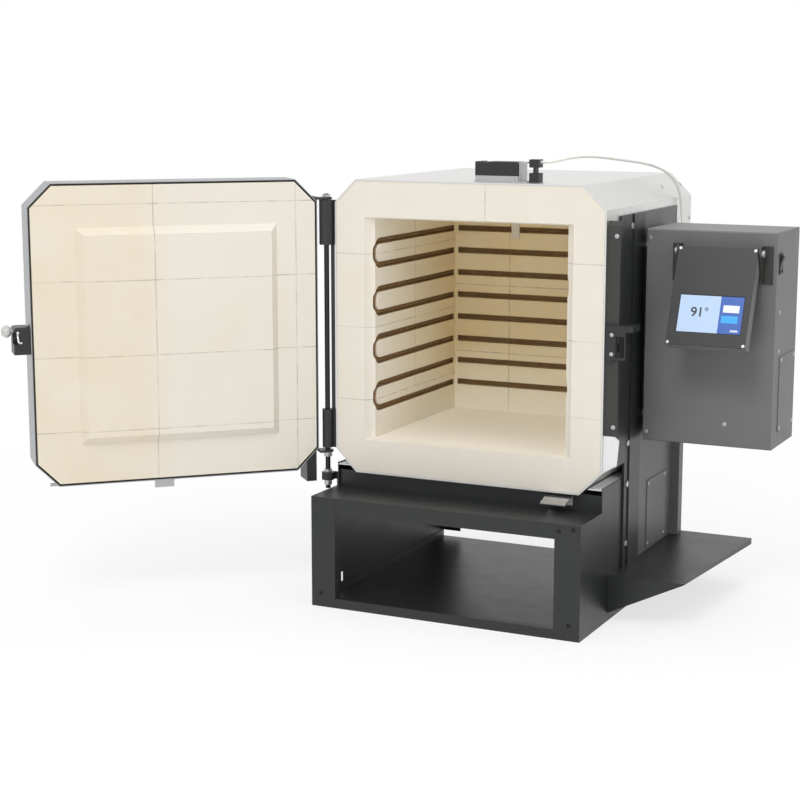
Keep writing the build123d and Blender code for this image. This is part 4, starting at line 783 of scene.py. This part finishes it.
class OVEN_OT_screws(bpy.types.Operator):
    """Cross-recessed screws, hexagon bolts and the display's thumb screws"""
    bl_idname = "oven.screws"
    bl_label = "Screws"

    def execute(self, context):
        # Pale plated heads that glint against the coats, and dark ones that hide in the stand
        zinc = brushed("zinc plated screw steel", srgb("#bcbdbe"), 0.34, (60, 60, 60))
        black = brushed("black oxide screw steel", srgb("#2a2a2b"), 0.4, (60, 60, 60), 0.7)
        plain = SHIELD_SCREWS + CATCH_SCREWS + JACKET_SCREWS + ACCESS_SCREWS + BOX_SCREWS
        screws = join(self.screws(plain, zinc) + self.screws(STAND_SCREWS, black))
        screws.name = screws.data.name = "case_cross_screws"
        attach(screws, "case")
        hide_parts("case_screws")

        bolts = join(self.copies(self.bolt(), [facing(place, RIGHT) for place in RAIL_BOLTS], zinc))
        bolts.name = bolts.data.name = "rail_hexagon_bolts"
        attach(bolts, "case")
        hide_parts("rail_bolts")

        pieces = []
        for places, diameter, material in ((FACE_SCREWS, 3, zinc), (FACE_STUDS, 1.3, black)):
            places = [on_display(u * MM, v * MM, 0) / MM for u, v in places]
            pieces += self.screws([(place, DISPLAY_OUT, diameter) for place in places], material)
        pieces += self.copies(self.knob(), [facing(*spec) for spec in THUMB_SCREWS], zinc)
        screws = join(pieces)
        screws.name = screws.data.name = "display_cross_screws"
        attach(screws, "display")
        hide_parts("display_screws")
        return {"FINISHED"}

    def copies(self, piece, placements, material):
        """Copies of a piece made at the origin, each with its own mesh; the first one goes."""
        made = []
        for placement in placements:
            copy = piece.copy()
            copy.data = piece.data.copy()
            bpy.context.scene.collection.objects.link(copy)
            made.append(seat(copy, material, placement))
        bpy.data.objects.remove(piece)
        return made

    def screws(self, specs, material):
        """Screws of one material, modelled once for each diameter."""
        made = []
        for diameter in sorted({spec[2] for spec in specs}):
            placements = [facing(place, outward) for place, outward, size in specs if size == diameter]
            made += self.copies(self.screw(diameter), placements, material)
        return made

    def cylinder(self, sides, radius, depth, ease=0, segments=0):
        """A cylinder that stands on the origin, with its edges rounded."""
        bpy.ops.object.select_all(action="DESELECT")
        bpy.ops.mesh.primitive_cylinder_add(vertices=sides, radius=radius, depth=depth,
                                            location=(0, 0, depth / 2))
        piece = bpy.context.object
        if segments:
            self.ease(piece, ease, segments)
        return piece

    def ease(self, obj, width, segments):
        """Round a piece's edges."""
        bevel = obj.modifiers.new("ease", "BEVEL")
        bevel.width = width
        bevel.segments = segments
        bevel.limit_method = "ANGLE"
        alone(obj)
        bpy.ops.object.modifier_apply(modifier="ease")

    def screw(self, diameter):
        """A pan head with a cross recess, its underside on the origin."""
        d = diameter * MM
        head = self.cylinder(20, d * 0.88, d * 0.54, d * 0.26, 3)
        bpy.ops.object.select_all(action="DESELECT")
        bpy.ops.mesh.primitive_cube_add(size=1, location=(0, 0, d * 0.62))
        cutter = bpy.context.object
        cutter.scale = (d * 0.95, d * 0.2, d * 0.5)
        bpy.ops.object.transform_apply(location=False, rotation=False, scale=True)
        for turn in (20, 110):
            cutter.rotation_euler = (0, 0, radians(turn))
            slot = head.modifiers.new("recess", "BOOLEAN")
            slot.object = cutter
            slot.operation = "DIFFERENCE"
            alone(head)
            bpy.ops.object.modifier_apply(modifier="recess")
        bpy.data.objects.remove(cutter)
        return head

    def bolt(self):
        """A hexagon head on a pressed washer."""
        head = self.cylinder(6, 5.5 * MM, 3.6 * MM, 0.5 * MM, 2)
        washer = self.cylinder(28, 6.6 * MM, 1.1 * MM, 0.25 * MM, 2)
        return join([head, washer])

    def knob(self):
        """A knurled thumb screw: its rim is cut by extruding every other side a little."""
        knob = self.cylinder(36, 4.6 * MM, 8.8 * MM)
        bpy.ops.object.mode_set(mode="EDIT")
        bpy.ops.mesh.select_mode(type="FACE")
        bpy.ops.mesh.select_all(action="DESELECT")
        bpy.ops.object.mode_set(mode="OBJECT")
        sides = [f for f in knob.data.polygons if abs(f.normal.z) < 0.5]
        for face in sorted(sides, key=lambda f: atan2(f.center.y, f.center.x))[::2]:
            face.select = True
        bpy.ops.object.mode_set(mode="EDIT")
        bpy.ops.mesh.extrude_faces_move(TRANSFORM_OT_shrink_fatten={"value": 0.35 * MM})
        bpy.ops.object.mode_set(mode="OBJECT")
        self.ease(knob, 0.15 * MM, 1)
        return knob


class OVEN_OT_latch(bpy.types.Operator):
    """Latch pull: translucent ball knob, rod and bent wire hook"""
    bl_idname = "oven.latch"
    bl_label = "Latch Pull"

    def execute(self, context):
        # Milky plastic that lets a little light in
        acetal = moulded("natural acetal knob", srgb("#c9cac9"), 0.3, 1.2)
        feed(acetal.node_tree.nodes["Principled BSDF"],
             {"Subsurface Weight": 0.25, "Subsurface Scale": 4 * MM})
        # Bright wire with hard glints
        steel = brushed("polished hook steel", srgb("#d6d7d8"), 0.22, (60, 60, 60))
        pieces = []
        for places, radius in ((LATCH_ROD, 3.0), (LATCH_HOOK, 1.3)):
            points = [self.at_door(*place) for place in places]
            pieces.append(to_mesh(curve("rod", "NURBS", points, radius * MM, 5), steel))
        for middle, radius in LATCH_BALLS:
            bpy.ops.object.select_all(action="DESELECT")
            bpy.ops.mesh.primitive_uv_sphere_add(segments=20, ring_count=12, radius=radius * MM,
                                                 location=self.at_door(*middle))
            pieces.append(seat(context.object, steel))
        pieces.append(self.ball_knob(acetal))
        pull = join(pieces)
        bpy.ops.object.shade_smooth_by_angle(angle=radians(50))
        pull.name = pull.data.name = "latch_pull_hook"
        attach(pull, "latch")
        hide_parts("latch_slide")
        return {"FINISHED"}

    def at_door(self, past_edge, t, z):
        """A place in the door's frame: past its free edge, out of the bricks, and up, in millimetres."""
        return DOOR_EDGE + ALONG * (DOOR_W + past_edge) * MM + OUT * t * MM + Vector((0, 0, z * MM))

    def ball_knob(self, material):
        """A turned knob: a flattened ball with a flat end."""
        bpy.ops.object.select_all(action="DESELECT")
        bpy.ops.mesh.primitive_uv_sphere_add(segments=40, ring_count=20, radius=9.4 * MM)
        knob = bpy.context.object
        knob.scale = (1, 1, 0.86)
        bpy.ops.object.transform_apply(location=False, rotation=False, scale=True)
        bpy.ops.object.mode_set(mode="EDIT")
        bpy.ops.mesh.select_all(action="SELECT")
        bpy.ops.mesh.bisect(plane_co=(0, 0, 7.4 * MM), plane_no=(0, 0, 1), use_fill=True,
                            clear_outer=True)
        bpy.ops.object.mode_set(mode="OBJECT")
        return seat(knob, material, facing(self.at_door(*LATCH_KNOB) / MM, ALONG))


class OVEN_PT_panel(bpy.types.Panel):
    """Lists the steps that dress the oven"""
    bl_idname = "OVEN_PT_panel"
    bl_label = "Heat Treat Oven"
    bl_space_type = "VIEW_3D"
    bl_region_type = "UI"
    bl_category = "Oven"

    def draw(self, context):
        for step in STEPS:
            self.layout.operator(step.bl_idname)
        for group in (context.scene.oven_colours, context.scene.oven_sizes):
            box = self.layout.box()
            for key in group.__annotations__:
                box.prop(group, key)


STEPS = (OVEN_OT_stage, OVEN_OT_lead, OVEN_OT_finishes, OVEN_OT_elements, OVEN_OT_screen,
         OVEN_OT_screws, OVEN_OT_latch)
CLASSES = (OvenColours, OvenSizes, *STEPS, OVEN_PT_panel)


def register():
    for cls in CLASSES:
        bpy.utils.register_class(cls)
    bpy.types.Scene.oven_colours = bpy.props.PointerProperty(type=OvenColours)
    bpy.types.Scene.oven_sizes = bpy.props.PointerProperty(type=OvenSizes)


def unregister():
    del bpy.types.Scene.oven_sizes
    del bpy.types.Scene.oven_colours
    for cls in reversed(CLASSES):
        bpy.utils.unregister_class(cls)


def main():
    """Make everything in order."""
    register()
    bpy.ops.oven.stage()
    bpy.ops.oven.lead()
    bpy.ops.oven.finishes()
    bpy.ops.oven.elements()
    bpy.ops.oven.screen()
    bpy.ops.oven.screws()
    bpy.ops.oven.latch()


if __name__ == "__main__":
    main()
